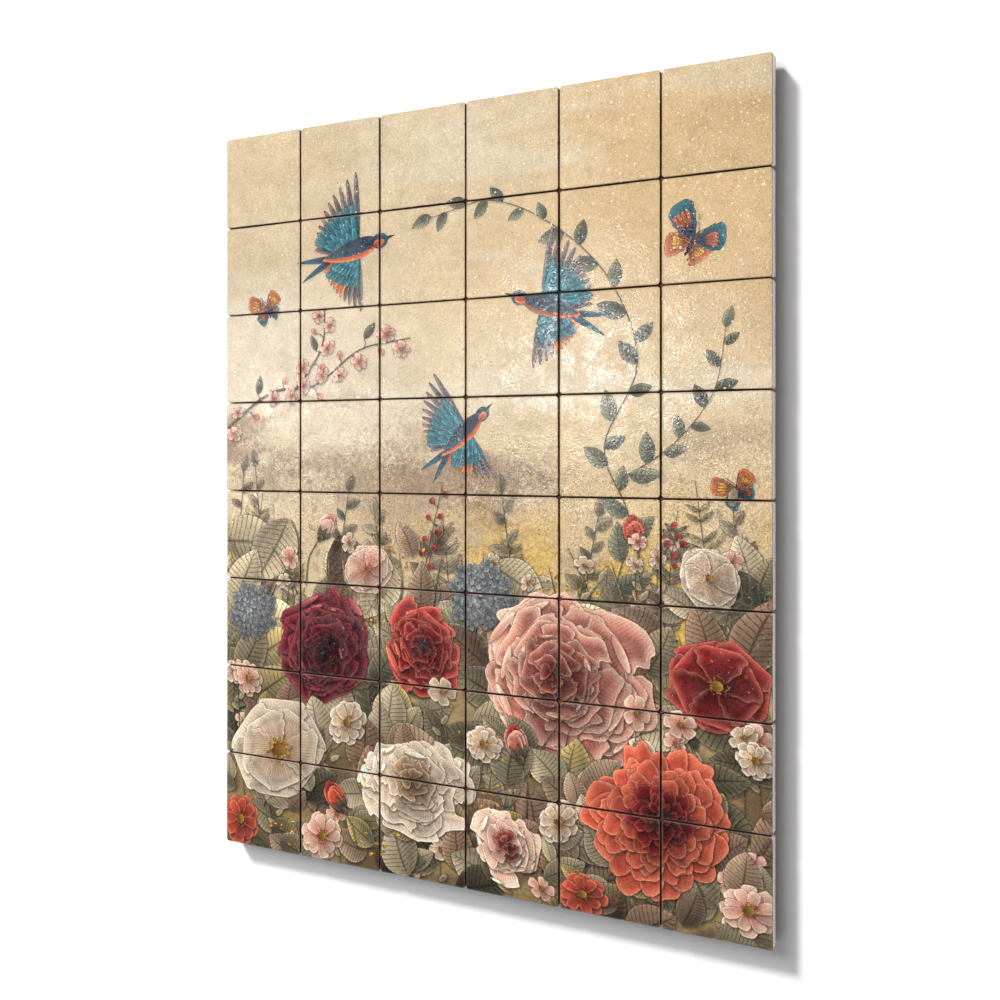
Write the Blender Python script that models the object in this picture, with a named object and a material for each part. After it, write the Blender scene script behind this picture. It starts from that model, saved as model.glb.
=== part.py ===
"""Tile panel of hand-made square ceramic tiles, set in dark grout on a board.

The panel hangs upright. Its glazed faces look towards -Y, +Z is up, and the
origin is the middle of the board's flat back, where it lies on the wall.
"""

import math
import random

import bmesh
import bpy

# Driving sizes, in metres.
COLUMNS = 6
ROWS = 8
TILE_SIDE = 0.0988
TILE_THICKNESS = 0.014
JOINT_WIDTH = 0.0012
CORNER_RADIUS = 0.002
RIM_ROUNDING = 0.0008
CROWN_HEIGHT = 0.0006
BOARD_THICKNESS = 0.006
BOARD_SET_BACK = 0.006
BOARD_CHAMFER = 0.0008
GROUT_RECESS = 0.0016
GROUT_END_INSET = 0.003
CLEARANCE = 0.0003

# How far the outermost tiles reach beyond the even squares, on their outer side.
OUTER_REACH_X = 0.001
OUTER_REACH_Z = 0.003

# How far a hand-cut tile falls short of its nominal square and thickness.
CORNER_DRIFT = 0.0003
FACE_DRIFT = 0.0004
SEED = 41

# Straight pieces that make up each rounded corner of a tile.
CORNER_STEPS = 3
# Share of the half side, from the rim, over which the face rises to its crown.
CROWN_SHOULDER = 0.4
# Share of the crown that the face has gained at the end of that shoulder.
SHOULDER_RISE = 0.85

PITCH = TILE_SIDE + JOINT_WIDTH
PANEL_WIDTH = COLUMNS * PITCH - JOINT_WIDTH + 2 * OUTER_REACH_X
PANEL_HEIGHT = ROWS * PITCH - JOINT_WIDTH + 2 * OUTER_REACH_Z
BED_Y = -(BOARD_THICKNESS + CLEARANCE)

# Linear colours of the glaze, from the top of the panel to its foot.
PARCHMENT = (0.72, 0.55, 0.32)
HAZE = (0.50, 0.44, 0.37)
GARDEN = (0.23, 0.15, 0.12)
GROUT_BROWN = (0.026, 0.012, 0.008)
BOARD_BROWN = (0.060, 0.045, 0.036)


def clear_scene():
    """Start from an empty file."""
    for old in list(bpy.data.objects):
        bpy.data.objects.remove(old, do_unlink=True)


def make_material(name, colour, roughness):
    """A plain Principled material."""
    material = bpy.data.materials.new(name)
    material.use_nodes = True
    shader = material.node_tree.nodes["Principled BSDF"]
    shader.inputs["Base Color"].default_value = (*colour, 1.0)
    shader.inputs["Roughness"].default_value = roughness
    shader.inputs["Metallic"].default_value = 0.0
    return material


def blend(first, second, share):
    """The colour at a share of the way from the first to the second."""
    return tuple(a + (b - a) * share for a, b in zip(first, second))


def glaze_colour(row):
    """Mean colour of a row of tiles: parchment, then haze, then the garden."""
    height = row / max(ROWS - 1, 1)
    if height < 0.5:
        return blend(PARCHMENT, HAZE, height / 0.5)
    return blend(HAZE, GARDEN, (height - 0.5) / 0.5)


def add_object(name, bm, material, location, parent):
    """Close a bmesh into a named object under the panel's empty."""
    bmesh.ops.recalc_face_normals(bm, faces=bm.faces)
    mesh = bpy.data.meshes.new(name)
    bm.to_mesh(mesh)
    bm.free()
    mesh.materials.append(material)
    piece = bpy.data.objects.new(name, mesh)
    bpy.context.collection.objects.link(piece)
    piece.location = location
    piece.parent = parent
    return piece


def tile_span(index, count, reach):
    """Middle and half length of a tile along one axis of the panel."""
    middle = (index - (count - 1) / 2) * PITCH
    low = middle - TILE_SIDE / 2 - (reach if index == 0 else 0)
    high = middle + TILE_SIDE / 2 + (reach if index == count - 1 else 0)
    return (low + high) / 2, (high - low) / 2


def tile_outline(rng, half_x, half_z):
    """Rounded square, each corner drawn in by its own small drift."""
    points = []
    for quarter in range(4):
        turn = math.radians(90 * quarter)
        sign_x = 1 if quarter in (0, 3) else -1
        sign_z = 1 if quarter in (0, 1) else -1
        reach_x = half_x - rng.uniform(0, CORNER_DRIFT) - CORNER_RADIUS
        reach_z = half_z - rng.uniform(0, CORNER_DRIFT) - CORNER_RADIUS
        for step in range(CORNER_STEPS + 1):
            angle = turn + math.radians(90) * step / CORNER_STEPS
            points.append((sign_x * reach_x + CORNER_RADIUS * math.cos(angle),
                           sign_z * reach_z + CORNER_RADIUS * math.sin(angle)))
    return points


def add_ring(bm, outline, halves, inset, depth):
    """One loop of the outline, drawn in by inset, at a depth from the back."""
    scale_x, scale_z = (1 - inset / half for half in halves)
    return [bm.verts.new((x * scale_x, -depth, z * scale_z)) for x, z in outline]


def bridge(bm, lower, upper):
    """Quads between two loops of the same count."""
    count = len(lower)
    for i in range(count):
        j = (i + 1) % count
        bm.faces.new((lower[i], lower[j], upper[j], upper[i]))


def make_tile(name, rng, halves, material, location, parent):
    """A tile with a rounded rim and a slightly crowned face."""
    outline = tile_outline(rng, *halves)
    rim = TILE_THICKNESS - rng.uniform(0, FACE_DRIFT)
    shoulder = TILE_SIDE / 2 * CROWN_SHOULDER
    bm = bmesh.new()
    loops = [
        add_ring(bm, outline, halves, 0.0, 0.0),
        add_ring(bm, outline, halves, 0.0, rim - RIM_ROUNDING),
        add_ring(bm, outline, halves, RIM_ROUNDING, rim),
        add_ring(bm, outline, halves, shoulder, rim + CROWN_HEIGHT * SHOULDER_RISE),
    ]
    bm.faces.new(loops[0])
    for lower, upper in zip(loops, loops[1:]):
        bridge(bm, lower, upper)
    crown = bm.verts.new((0.0, -(rim + CROWN_HEIGHT), 0.0))
    last = loops[-1]
    for i, vert in enumerate(last):
        bm.faces.new((vert, last[(i + 1) % len(last)], crown))
    return add_object(name, bm, material, location, parent)


def make_tiles(parent):
    """All tiles, row by row from the top left."""
    for row in range(ROWS):
        glaze = make_material(f"glaze_row_{row + 1}", glaze_colour(row), 0.28)
        z, half_z = tile_span(ROWS - 1 - row, ROWS, OUTER_REACH_Z)
        for column in range(COLUMNS):
            x, half_x = tile_span(column, COLUMNS, OUTER_REACH_X)
            rng = random.Random(SEED * 10000 + row * 100 + column)
            name = f"tile_r{row + 1}_c{column + 1}"
            make_tile(name, rng, (half_x, half_z), glaze, (x, BED_Y, z), parent)


def crossing_outline(x, z, rib, reach):
    """Four-armed star of grout between the rounded corners of four tiles."""
    radius = reach - rib
    points = []
    for quarter in range(4):
        turn = math.radians(90 * quarter)
        for step in range(CORNER_STEPS + 1):
            angle = math.radians(270) - math.radians(90) * step / CORNER_STEPS
            u = reach + radius * math.cos(angle)
            v = reach + radius * math.sin(angle)
            points.append((x + u * math.cos(turn) - v * math.sin(turn),
                           z + u * math.sin(turn) + v * math.cos(turn)))
    return points


def stretches(centres, reach, end):
    """Spans along a joint: from end to end, less the crossings' arms."""
    starts = [-end] + [c + reach for c in centres]
    stops = [c - reach for c in centres] + [end]
    return list(zip(starts, stops))


def make_grout(parent):
    """The lattice between the tiles, a little below their rims, in one piece."""
    rib = JOINT_WIDTH / 2 - CLEARANCE
    reach = JOINT_WIDTH / 2 + CORNER_RADIUS
    joints_x = [(i - COLUMNS / 2) * PITCH for i in range(1, COLUMNS)]
    joints_z = [(j - ROWS / 2) * PITCH for j in range(1, ROWS)]
    end_x = PANEL_WIDTH / 2 - GROUT_END_INSET
    end_z = PANEL_HEIGHT / 2 - GROUT_END_INSET
    bm = bmesh.new()
    for x in joints_x:
        for z in joints_z:
            star = crossing_outline(x, z, rib, reach)
            bm.faces.new([bm.verts.new((u, BED_Y, v)) for u, v in star])
    for x in joints_x:
        for low, high in stretches(joints_z, reach, end_z):
            corners = ((x - rib, low), (x + rib, low), (x + rib, high), (x - rib, high))
            bm.faces.new([bm.verts.new((u, BED_Y, v)) for u, v in corners])
    for z in joints_z:
        for low, high in stretches(joints_x, reach, end_x):
            corners = ((low, z - rib), (high, z - rib), (high, z + rib), (low, z + rib))
            bm.faces.new([bm.verts.new((u, BED_Y, v)) for u, v in corners])
    bmesh.ops.remove_doubles(bm, verts=bm.verts, dist=CLEARANCE / 10)
    grown = bmesh.ops.extrude_face_region(bm, geom=list(bm.faces))
    front = [item for item in grown["geom"] if isinstance(item, bmesh.types.BMVert)]
    depth = TILE_THICKNESS - FACE_DRIFT - GROUT_RECESS
    bmesh.ops.translate(bm, verts=front, vec=(0.0, -depth, 0.0))
    material = make_material("grout", GROUT_BROWN, 0.9)
    return add_object("grout", bm, material, (0.0, 0.0, 0.0), parent)


def make_board(parent):
    """The flat board behind the tiles, set back from their outer edges."""
    size = (PANEL_WIDTH - 2 * BOARD_SET_BACK, BOARD_THICKNESS, PANEL_HEIGHT - 2 * BOARD_SET_BACK)
    bm = bmesh.new()
    bmesh.ops.create_cube(bm, size=1.0)
    bmesh.ops.scale(bm, verts=bm.verts, vec=size)
    material = make_material("board", BOARD_BROWN, 0.8)
    board = add_object("backing_board", bm, material, (0.0, -BOARD_THICKNESS / 2, 0.0), parent)
    chamfer = board.modifiers.new("chamfer", "BEVEL")
    chamfer.width = BOARD_CHAMFER
    chamfer.segments = 1
    return board


def main():
    clear_scene()
    panel = bpy.data.objects.new("panel", None)
    bpy.context.collection.objects.link(panel)
    make_board(panel)
    make_grout(panel)
    make_tiles(panel)


main()
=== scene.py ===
"""Looks of the tile panel: painted, glazed tiles in dark grout, before a white wall.

Lengths that end in _MM and everything in the painting are in millimetres. The
painting is measured from the panel's lower left corner. Everything else is in
metres, in the frame of the solids.
"""

import math
import random
from dataclasses import dataclass
from functools import partialmethod

import bpy
import numpy as np
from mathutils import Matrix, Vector
from mathutils.geometry import delaunay_2d_cdt


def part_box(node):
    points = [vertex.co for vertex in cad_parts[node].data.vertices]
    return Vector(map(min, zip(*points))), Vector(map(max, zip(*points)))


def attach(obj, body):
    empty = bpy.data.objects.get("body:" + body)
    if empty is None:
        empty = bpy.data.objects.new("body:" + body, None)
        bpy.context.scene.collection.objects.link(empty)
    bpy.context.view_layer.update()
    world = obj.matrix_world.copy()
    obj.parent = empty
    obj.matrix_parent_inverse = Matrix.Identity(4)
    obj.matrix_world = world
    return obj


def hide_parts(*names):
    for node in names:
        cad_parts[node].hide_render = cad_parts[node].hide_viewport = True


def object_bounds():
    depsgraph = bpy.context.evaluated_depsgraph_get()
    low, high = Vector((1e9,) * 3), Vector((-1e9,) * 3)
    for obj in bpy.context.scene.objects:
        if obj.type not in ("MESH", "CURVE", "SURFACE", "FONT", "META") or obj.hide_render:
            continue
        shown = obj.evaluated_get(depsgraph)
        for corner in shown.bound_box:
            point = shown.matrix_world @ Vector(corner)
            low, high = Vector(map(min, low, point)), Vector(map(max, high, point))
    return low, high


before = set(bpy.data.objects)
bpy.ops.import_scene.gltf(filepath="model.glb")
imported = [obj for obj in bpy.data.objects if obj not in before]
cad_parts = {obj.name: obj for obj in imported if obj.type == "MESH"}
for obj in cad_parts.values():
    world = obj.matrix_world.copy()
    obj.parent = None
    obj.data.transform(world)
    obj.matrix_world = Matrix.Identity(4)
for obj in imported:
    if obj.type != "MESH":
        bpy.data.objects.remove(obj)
cad_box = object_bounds()

MM = 0.001
COLUMNS = 6
ROWS = 8

LOW, HIGH = (np.array(corner) for corner in cad_box)
WIDTH_MM = float(HIGH[0] - LOW[0]) / MM
HEIGHT_MM = float(HIGH[2] - LOW[2]) / MM

# The shape of one tile. SIDE_WAIST gives heights on its side as shares of the rim's.
CORNER_MM = 2.4
RIM_MM = 0.7
CROWN_MM = 0.55
WAVE_MM = 0.12
FACE_ROOM_MM = 0.05
EDGE_WOBBLE_MM = 0.2
CORNER_SPREAD_MM = 0.8
SIDE_WAIST = (0.62, 0.3)
SIDE_DIP_MM = 0.06
REAR_CHAMFER_MM = (0.4, 0.5)
RIM_STEPS = 4
CORNER_STEPS = 5
SIDE_SPACING_MM = 4.0

# How fine the painted meshes are.
GRID_MM = 2.1
OUTLINE_MM = 1.9
OUTLINE_MARGIN_MM = 0.9
GRID_MARGIN_MM = 1.2
GRID_JITTER = 0.25
SLOPE_STEP_MM = 0.2
RIM_ZONE_MM = 4.0
MERGE_MM = 1e-3

# The camera, from the lines of the joints in the photograph of 1000 by 1000 pixels.
PHOTO_SIDE = 1000.0
FOCAL_PIXELS = 1211.0
CENTRE_PIXEL = (330.2, 453.0)
CAMERA_YAW = math.radians(31.07)
CAMERA_PLACE = (0.520, -1.131, 0.043)
SENSOR_MM = 36.0
FACE_Y = -0.0203

# Light and stage.
KEY_DIRECTION = (0.97, 1.0, -1.39)
KEY_STRENGTH = 3.9
KEY_ANGLE = math.radians(10)
WORLD_STRENGTH = 0.16
BACKDROP_STRENGTH = 0.95
# Softboxes: place, target, size, watts, and the kind of light that leaves them out.
SOFTBOXES = {
    "fill": ((-1.5, -2.3, 1.4), (0, 0, 0), (2.4, 1.6), 46.0, "visible_glossy"),
    "bounce": ((-0.8, -1.6, -1.5), (0, 0, 0), (2.0, 1.2), 6.0, "visible_glossy"),
    "sheen_1": ((-0.50, -1.85, 0.27), (0, 0, 0.1), (0.34, 0.26), 10.0, "visible_diffuse"),
    "sheen_2": ((-1.42, -1.85, 0.18), (0, 0, 0.1), (0.4, 0.3), 7.0, "visible_diffuse"),
    "side": ((2.6, -0.12, 0.3), (0, 0, 0), (0.5, 1.4), 17.0, "visible_glossy"),
    "rear": ((1.2, 2.2, 0.9), (0, 0, 0), (2.0, 2.0), 60.0, None),
}
WALL_Y = 0.0005
STAGE_REACH = 4.0
FLOOR_Z = -0.75

# Where the parts of a tile lie on its texture map, as shares of the map.
MAP_MIDDLE = np.array((0.455, 0.455))
FACE_SPOT = 0.41
SIDE_SPOT = 0.445
REAR_SPOT = np.array((0.955, 0.955))
REAR_REACH = 0.03

# Drawing. NO_RIB and INNER are distances from a rib and an edge where there is none.
GOLDEN_ANGLE = math.pi * (3 - math.sqrt(5))
CURVE_STEPS = 12
NO_RIB = 9.0
INNER = 9.0
PETAL_LINES = 0.8
REACH_MARGIN_MM = 3.0
CRISP_OPACITY = 0.3
OUTLINED_OPACITY = 0.6
HOLLOW = 0.1
FOLDED_WING = 0.75
KEEP_INSIDE = 1
SEED = 12

# A tile's side, in mm above its back: clay, then side glaze, then the face's own glaze.
CLAY_DEPTH = (3.2, 4.4)
GLAZE_DEPTH_OUTER = 12.4
GLAZE_DEPTH_INNER = 12.9
FACE_DEPTH = 13.6
# How far beyond the panel's edge, in mm, a side counts as an outer one.
OUTER_SIDE = (-2.4, -1.6)

# Paints, as sRGB values from 0 to 255.
PARCHMENT_PALE = (231, 217, 192)
PARCHMENT = (220, 196, 158)
PARCHMENT_WARM = (218, 185, 136)
PARCHMENT_STAIN = (188, 158, 118)
HAZE_GREY = (188, 162, 134)
HAZE_DARK = (158, 130, 104)
GOLD_LEAF = (222, 178, 80)
EARTH = (172, 144, 102)
EARTH_DARK = (92, 72, 50)
LEAF_GREY = (180, 163, 134)
LEAF_SAGE = (147, 132, 103)
LEAF_OLIVE = (108, 99, 76)
LEAF_DARK = (62, 57, 45)
LEAF_BROWN = (142, 112, 90)
LEAF_LINE = (38, 32, 24)
TWIG = (96, 84, 62)
PINK_PALE = (244, 206, 180)
PINK = (222, 146, 124)
PINK_DEEP = (166, 78, 66)
CORAL = (210, 92, 66)
CORAL_PALE = (238, 164, 130)
CRIMSON = (172, 46, 44)
CRIMSON_DEEP = (98, 22, 26)
BURGUNDY = (112, 32, 42)
BURGUNDY_DEEP = (50, 14, 22)
BURGUNDY_PALE = (160, 78, 80)
CREAM = (240, 216, 188)
CREAM_SHADE = (212, 176, 142)
CREAM_LIGHT = (248, 232, 210)
YOLK = (220, 164, 60)
YOLK_DEEP = (146, 94, 34)
YOLK_PALE = (240, 198, 100)
STRAW = (178, 154, 98)
STRAW_PALE = (212, 188, 128)
TAUPE = (160, 134, 110)
TAUPE_DARK = (106, 84, 66)
TEAL = (42, 104, 116)
TEAL_PALE = (96, 152, 156)
NAVY = (30, 46, 66)
RUST = (190, 98, 56)
RUST_PALE = (230, 172, 118)
INK_BROWN = (60, 40, 30)

# Glaze, clay, grout, board and stage.
# the pale of the painted highlight along each tile's rim
RIM_HIGHLIGHT_PALE = (226, 214, 192)
GLAZE_SIDE = (232, 229, 234)
CLAY = (222, 200, 188)
CLAY_DARK = (196, 172, 158)
AGE_BROWN = (150, 112, 70)
# off-white, for the worn dots and for the pale patches
OFF_WHITE = (252, 246, 232)
GROUT = (118, 62, 40)
GROUT_DARK = (74, 36, 22)
GROUT_PALE = (150, 104, 76)
BOARD_BROWN = (72, 52, 38)
BOARD_DARK = (44, 31, 23)
WALL_WHITE = (254, 254, 254)
FLOOR_PALE = (236, 235, 232)


def smooth(t):
    """Smooth step of an array from 0 to 1."""
    t = np.clip(t, 0.0, 1.0)
    return t * t * (3 - 2 * t)


def rgb(colour):
    return np.array(colour, dtype=np.float64) / 255.0


def to_linear(colour):
    """Linear light from sRGB values from 0 to 1."""
    colour = np.asarray(colour, dtype=np.float64)
    return np.where(colour <= 0.04045, colour / 12.92, ((colour + 0.055) / 1.055) ** 2.4)


def mix(first, second, share):
    """Blend colours, or arrays of colours, by an array of shares."""
    return first + (second - first) * np.asarray(share)[..., None]


def hashed(ix, iy, seed):
    """Even random numbers from 0 to 1 on a grid of whole numbers."""
    n = (ix * 374761393 + iy * 668265263 + seed * 974634777) & 0x7FFFFFFF
    n = ((n ^ (n >> 13)) * 1274126177) & 0x7FFFFFFF
    return ((n ^ (n >> 16)) & 0xFFFF) / 65535.0


def noise(x, y, seed):
    """Smooth noise from 0 to 1, one cell for each unit."""
    ix = np.floor(x).astype(np.int64)
    iy = np.floor(y).astype(np.int64)
    fx = smooth(x - ix)
    fy = smooth(y - iy)
    low = hashed(ix, iy, seed) * (1 - fx) + hashed(ix + 1, iy, seed) * fx
    high = hashed(ix, iy + 1, seed) * (1 - fx) + hashed(ix + 1, iy + 1, seed) * fx
    return low * (1 - fy) + high * fy


def cloud(x, y, size_x, size_y, seed, octaves=4):
    """Layered noise from 0 to 1, its largest patches of the given sizes."""
    total = np.zeros_like(x)
    weight = 1.0
    whole = 0.0
    for octave in range(octaves):
        step = 2.0 ** octave
        total += weight * noise(x / size_x * step, y / size_y * step, seed + octave * 17)
        whole += weight
        weight *= 0.55
    return total / whole


def ground(x, y):
    """Aged parchment above, a grey haze across the middle, gilt and earth below."""
    across = x / WIDTH_MM
    up = y / HEIGHT_MM
    wash = cloud(x, y, 260.0, 90.0, 5)
    pale = smooth(1.15 - across * 1.1 + 1.3 * (wash - 0.5))
    colour = mix(rgb(PARCHMENT_WARM), rgb(PARCHMENT), pale)
    # pale glows on the left, in streaks above the haze, and on the right
    glow = np.exp(-((across - 0.12) / 0.3) ** 2 - ((up - 0.68) / 0.13) ** 2)
    glow += 0.55 * smooth((cloud(x, y, 190.0, 46.0, 15, 5) - 0.5) * 5) * smooth((up - 0.5) * 6)
    glow += 0.45 * np.exp(-((across - 0.85) / 0.3) ** 2 - ((up - 0.57) / 0.15) ** 2)
    colour = mix(colour, rgb(PARCHMENT_PALE), np.clip(glow, 0, 1) * 0.85)
    stain = smooth((cloud(x, y, 130.0, 40.0, 23, 5) - 0.52) * 5)
    colour = mix(colour, rgb(PARCHMENT_STAIN), 0.2 * stain)
    # the grainy haze: a grey veil, and a darker core within it
    drift = cloud(x, y, 110.0, 42.0, 71, 6) + 0.20 * (noise(x / 1.9, y / 1.9, 213) - 0.5)
    drift += 0.12 * (noise(x / 4.7, y / 4.1, 217) - 0.5) + 0.13 * (0.62 - across)
    middle = 0.525 + 0.035 * np.sin(across * 5.0 + 0.6)
    band = np.exp(-((up - middle) / 0.078) ** 2)
    veil = smooth((drift - 0.39) * 6.5) * band
    colour = mix(colour, rgb(HAZE_GREY), 0.9 * veil)
    core = smooth((drift - 0.53) * 9.0) * band
    colour = mix(colour, rgb(HAZE_DARK), 0.75 * core)
    # gilt behind the garden, then its brown earth and moss
    gilt = smooth((cloud(x, y, 70.0, 60.0, 97, 4) - 0.42) * 8)
    gilt = gilt * np.exp(-((up - 0.37) / 0.09) ** 2) * smooth(across * 2.2 - 0.35)
    colour = mix(colour, rgb(GOLD_LEAF), 0.85 * gilt)
    edge = 0.34 - up + 0.16 * (cloud(x, y, 90.0, 60.0, 41) - 0.5)
    colour = mix(colour, rgb(EARTH), 0.7 * smooth(edge / 0.14))
    depth = 0.26 - up + 0.2 * (cloud(x, y, 60.0, 40.0, 47) - 0.5)
    colour = mix(colour, rgb(EARTH_DARK), 0.8 * smooth(depth / 0.16))
    moss = smooth((cloud(x, y, 46.0, 34.0, 113, 4) - 0.47) * 7) * smooth((0.36 - up) / 0.1)
    colour = mix(colour, rgb(STRAW), 0.55 * moss)
    blotch = cloud(x, y, 40.0, 40.0, 59, 4) - 0.5
    grain = noise(x / 2.3, y / 2.3, 211) - 0.5
    rough = 0.03 + 0.2 * veil + 0.2 * moss + 0.3 * gilt
    return np.clip(colour * (1 + 0.08 * blotch + rough * grain)[:, None], 0, 1)


def unlined(count):
    """Marks of points that carry no drawn lines."""
    return np.tile((0.0, NO_RIB, 0.0, INNER), (count, 1))


class Canvas:
    """Paint on cells, each with a middle that says what covers it, and corners.

    lines holds marks for fine lines: two coordinates along and across the
    form, how strongly the lines show (pale ones below zero), and the distance
    from the form's edge in mm, where its outline is drawn.
    """

    def __init__(self, middles, corners):
        self.middles = middles
        self.per = corners.shape[1]
        self.points = corners.reshape(-1, 2)
        self.colour = ground(self.points[:, 0], self.points[:, 1])
        self.lines = unlined(len(self.points))

    def near(self, shape):
        """Cells within reach of a shape."""
        gap = np.abs(self.middles - shape.middle)
        return np.nonzero((gap[:, 0] < shape.radius) & (gap[:, 1] < shape.radius))[0]

    def corners_of(self, cells):
        return (cells[:, None] * self.per + np.arange(self.per)).ravel()

    def shade(self, rows, dark):
        self.colour[rows] *= 1 - dark[:, None]

    def cover(self, rows, colour, opacity, lines):
        self.colour[rows] = mix(self.colour[rows], np.clip(colour, 0, 1), np.full(len(rows), opacity))
        self.lines[rows] = lines


@dataclass(eq=False)
class Ink:
    """How a petal, leaf or feather is coloured, from its base to its tip and edge.

    edge_share is how much the edge colour shows, and hatch how many lines are drawn.
    """

    base: tuple
    tip: tuple
    edge: tuple = None
    line: tuple = INK_BROWN
    edge_share: float = 0.0
    hatch: int = 0
    rib: bool = False
    side: float = 0.12
    shadow: float = 0.5
    rise: float = 0.0
    fold: float = 0.0
    pale: bool = False

    def __post_init__(self):
        self.edge = self.edge or self.tip
        for part in ("base", "tip", "edge", "line"):
            setattr(self, part, rgb(getattr(self, part)))


@dataclass(eq=False)
class Blade:
    """A petal, leaf or feather: a tapering form along a bent middle line.

    along runs from its base to its tip, and across is half its greatest width.
    frill is how far its tip waves in and out, as a share of its length.
    """

    origin: np.ndarray
    along: np.ndarray
    across: np.ndarray
    ink: Ink
    base: float = 0.7
    tip: float = 0.5
    bend: float = 0.0
    ruffle: float = 0.0
    waves: float = 5.0
    frill: float = 0.0
    tone: float = 1.0
    opacity: float = 1.0
    seed: int = 0

    SHADOW_SHIFT = (0.8, -1.2)
    SHADOW_BLUR = 2.2
    LINE_WIDTH = 0.55
    STREAK = 0.11

    def __post_init__(self):
        self.length = float(np.hypot(*self.along))
        self.half = float(np.hypot(*self.across))
        peak = self.base / (self.base + self.tip)
        self.scale = 1.0 / (peak ** self.base * (1 - peak) ** self.tip)
        self.middle = self.origin + self.along * 0.5
        self.blur = self.SHADOW_BLUR + 0.05 * self.half
        self.radius = (0.5 + self.frill) * self.length + self.half * (1.15 + abs(self.bend))
        self.radius += REACH_MARGIN_MM
        self.crisp = self.opacity > CRISP_OPACITY

    def profile(self, u):
        """Half width at a share of the length, from 0 to 1."""
        u = np.clip(u, 0.0, 1.0)
        width = self.scale * u ** self.base * (1 - u) ** self.tip
        if self.ruffle:
            width = width * (1 + self.ruffle * np.sin(self.waves * 2 * math.pi * u + self.seed))
        return width

    def stretch(self, t):
        """How long the form is beside its middle line, as a share of its length."""
        return 1 + self.frill * np.sin(t * (3.0 + self.seed % 3) + self.seed)

    def local(self, points):
        """Shares along and across the form."""
        a, b = self.along, self.across
        det = a[0] * b[1] - a[1] * b[0]
        px = points[:, 0] - self.origin[0]
        py = points[:, 1] - self.origin[1]
        u = (px * b[1] - py * b[0]) / det
        t = (a[0] * py - a[1] * px) / det
        u = u / self.stretch(t)
        return u, t - self.bend * np.clip(u, 0, 1) ** 2

    def contains(self, points):
        u, t = self.local(points)
        return (u > 0) & (u < 1) & (np.abs(t) < self.profile(u))

    def outline(self):
        count = int(np.clip(self.length / OUTLINE_MM, 4, 20))
        u = 0.5 - 0.5 * np.cos(np.pi * np.arange(count + 1) / count)
        width = self.profile(u)
        middle = self.bend * u ** 2
        u = np.concatenate([u, u[-2:0:-1]])
        t = np.concatenate([middle + width, (middle - width)[-2:0:-1]])
        u = u * self.stretch(t)
        return self.origin + u[:, None] * self.along + t[:, None] * self.across

    def paint(self, canvas, near):
        ink = self.ink
        if ink.shadow:
            rows = canvas.corners_of(near)
            u, t = self.local(canvas.points[rows] - self.SHADOW_SHIFT)
            gap = (np.abs(t) - self.profile(u)) * self.half
            gap = np.maximum(gap, np.maximum(-u, u - 1) * self.length)
            dark = smooth(1 - (gap + 0.6) / self.blur)
            canvas.shade(rows, 0.6 * ink.shadow * self.opacity * dark)
        covered = near[self.contains(canvas.middles[near])]
        if not len(covered):
            return
        rows = canvas.corners_of(covered)
        u, t = self.local(canvas.points[rows])
        u = np.clip(u, 0, 1)
        width = np.maximum(self.profile(u), 1e-3)
        s = np.clip(t / width, -1, 1)
        colour = mix(ink.base, ink.tip, smooth((u - ink.rise) / (1 - ink.rise)))
        streak = noise(s * 7.0 + self.seed * 3.1, u * 1.6 + self.seed, 7) - 0.5
        tone = 1 + self.STREAK * streak + ink.side * s
        colour = colour * tone[:, None] * self.tone
        rim = smooth((np.abs(s) - 0.62) / 0.38) + smooth((u - 0.84) / 0.16)
        fold = np.exp(-((u - 0.76 - 0.05 * np.sin(t * 4 + self.seed)) / 0.07) ** 2)
        colour = colour * (1 - ink.fold * fold)[:, None]
        colour = mix(colour, ink.edge * self.tone, ink.edge_share * np.clip(rim, 0, 1))
        margin = np.minimum((1 - np.abs(s)) * width * self.half, (1 - u) * self.length)
        colour = mix(colour, ink.line, 0.4 * np.clip(1 - margin / self.LINE_WIDTH, 0, 1))
        strength = self.opacity if ink.hatch else 0.0
        if self.opacity < OUTLINED_OPACITY:
            margin = np.full(len(rows), INNER)
        if ink.rib:
            shown = np.full(len(rows), -1.3 * strength if ink.pale else strength)
            lines = np.stack([u * ink.hatch, s, shown, margin], 1)
        else:
            fade = strength * PETAL_LINES * (1.15 - 0.7 * u)
            lines = np.stack([s * ink.hatch, np.full(len(rows), NO_RIB), fade, margin], 1)
        canvas.cover(rows, colour, self.opacity, lines)


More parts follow.
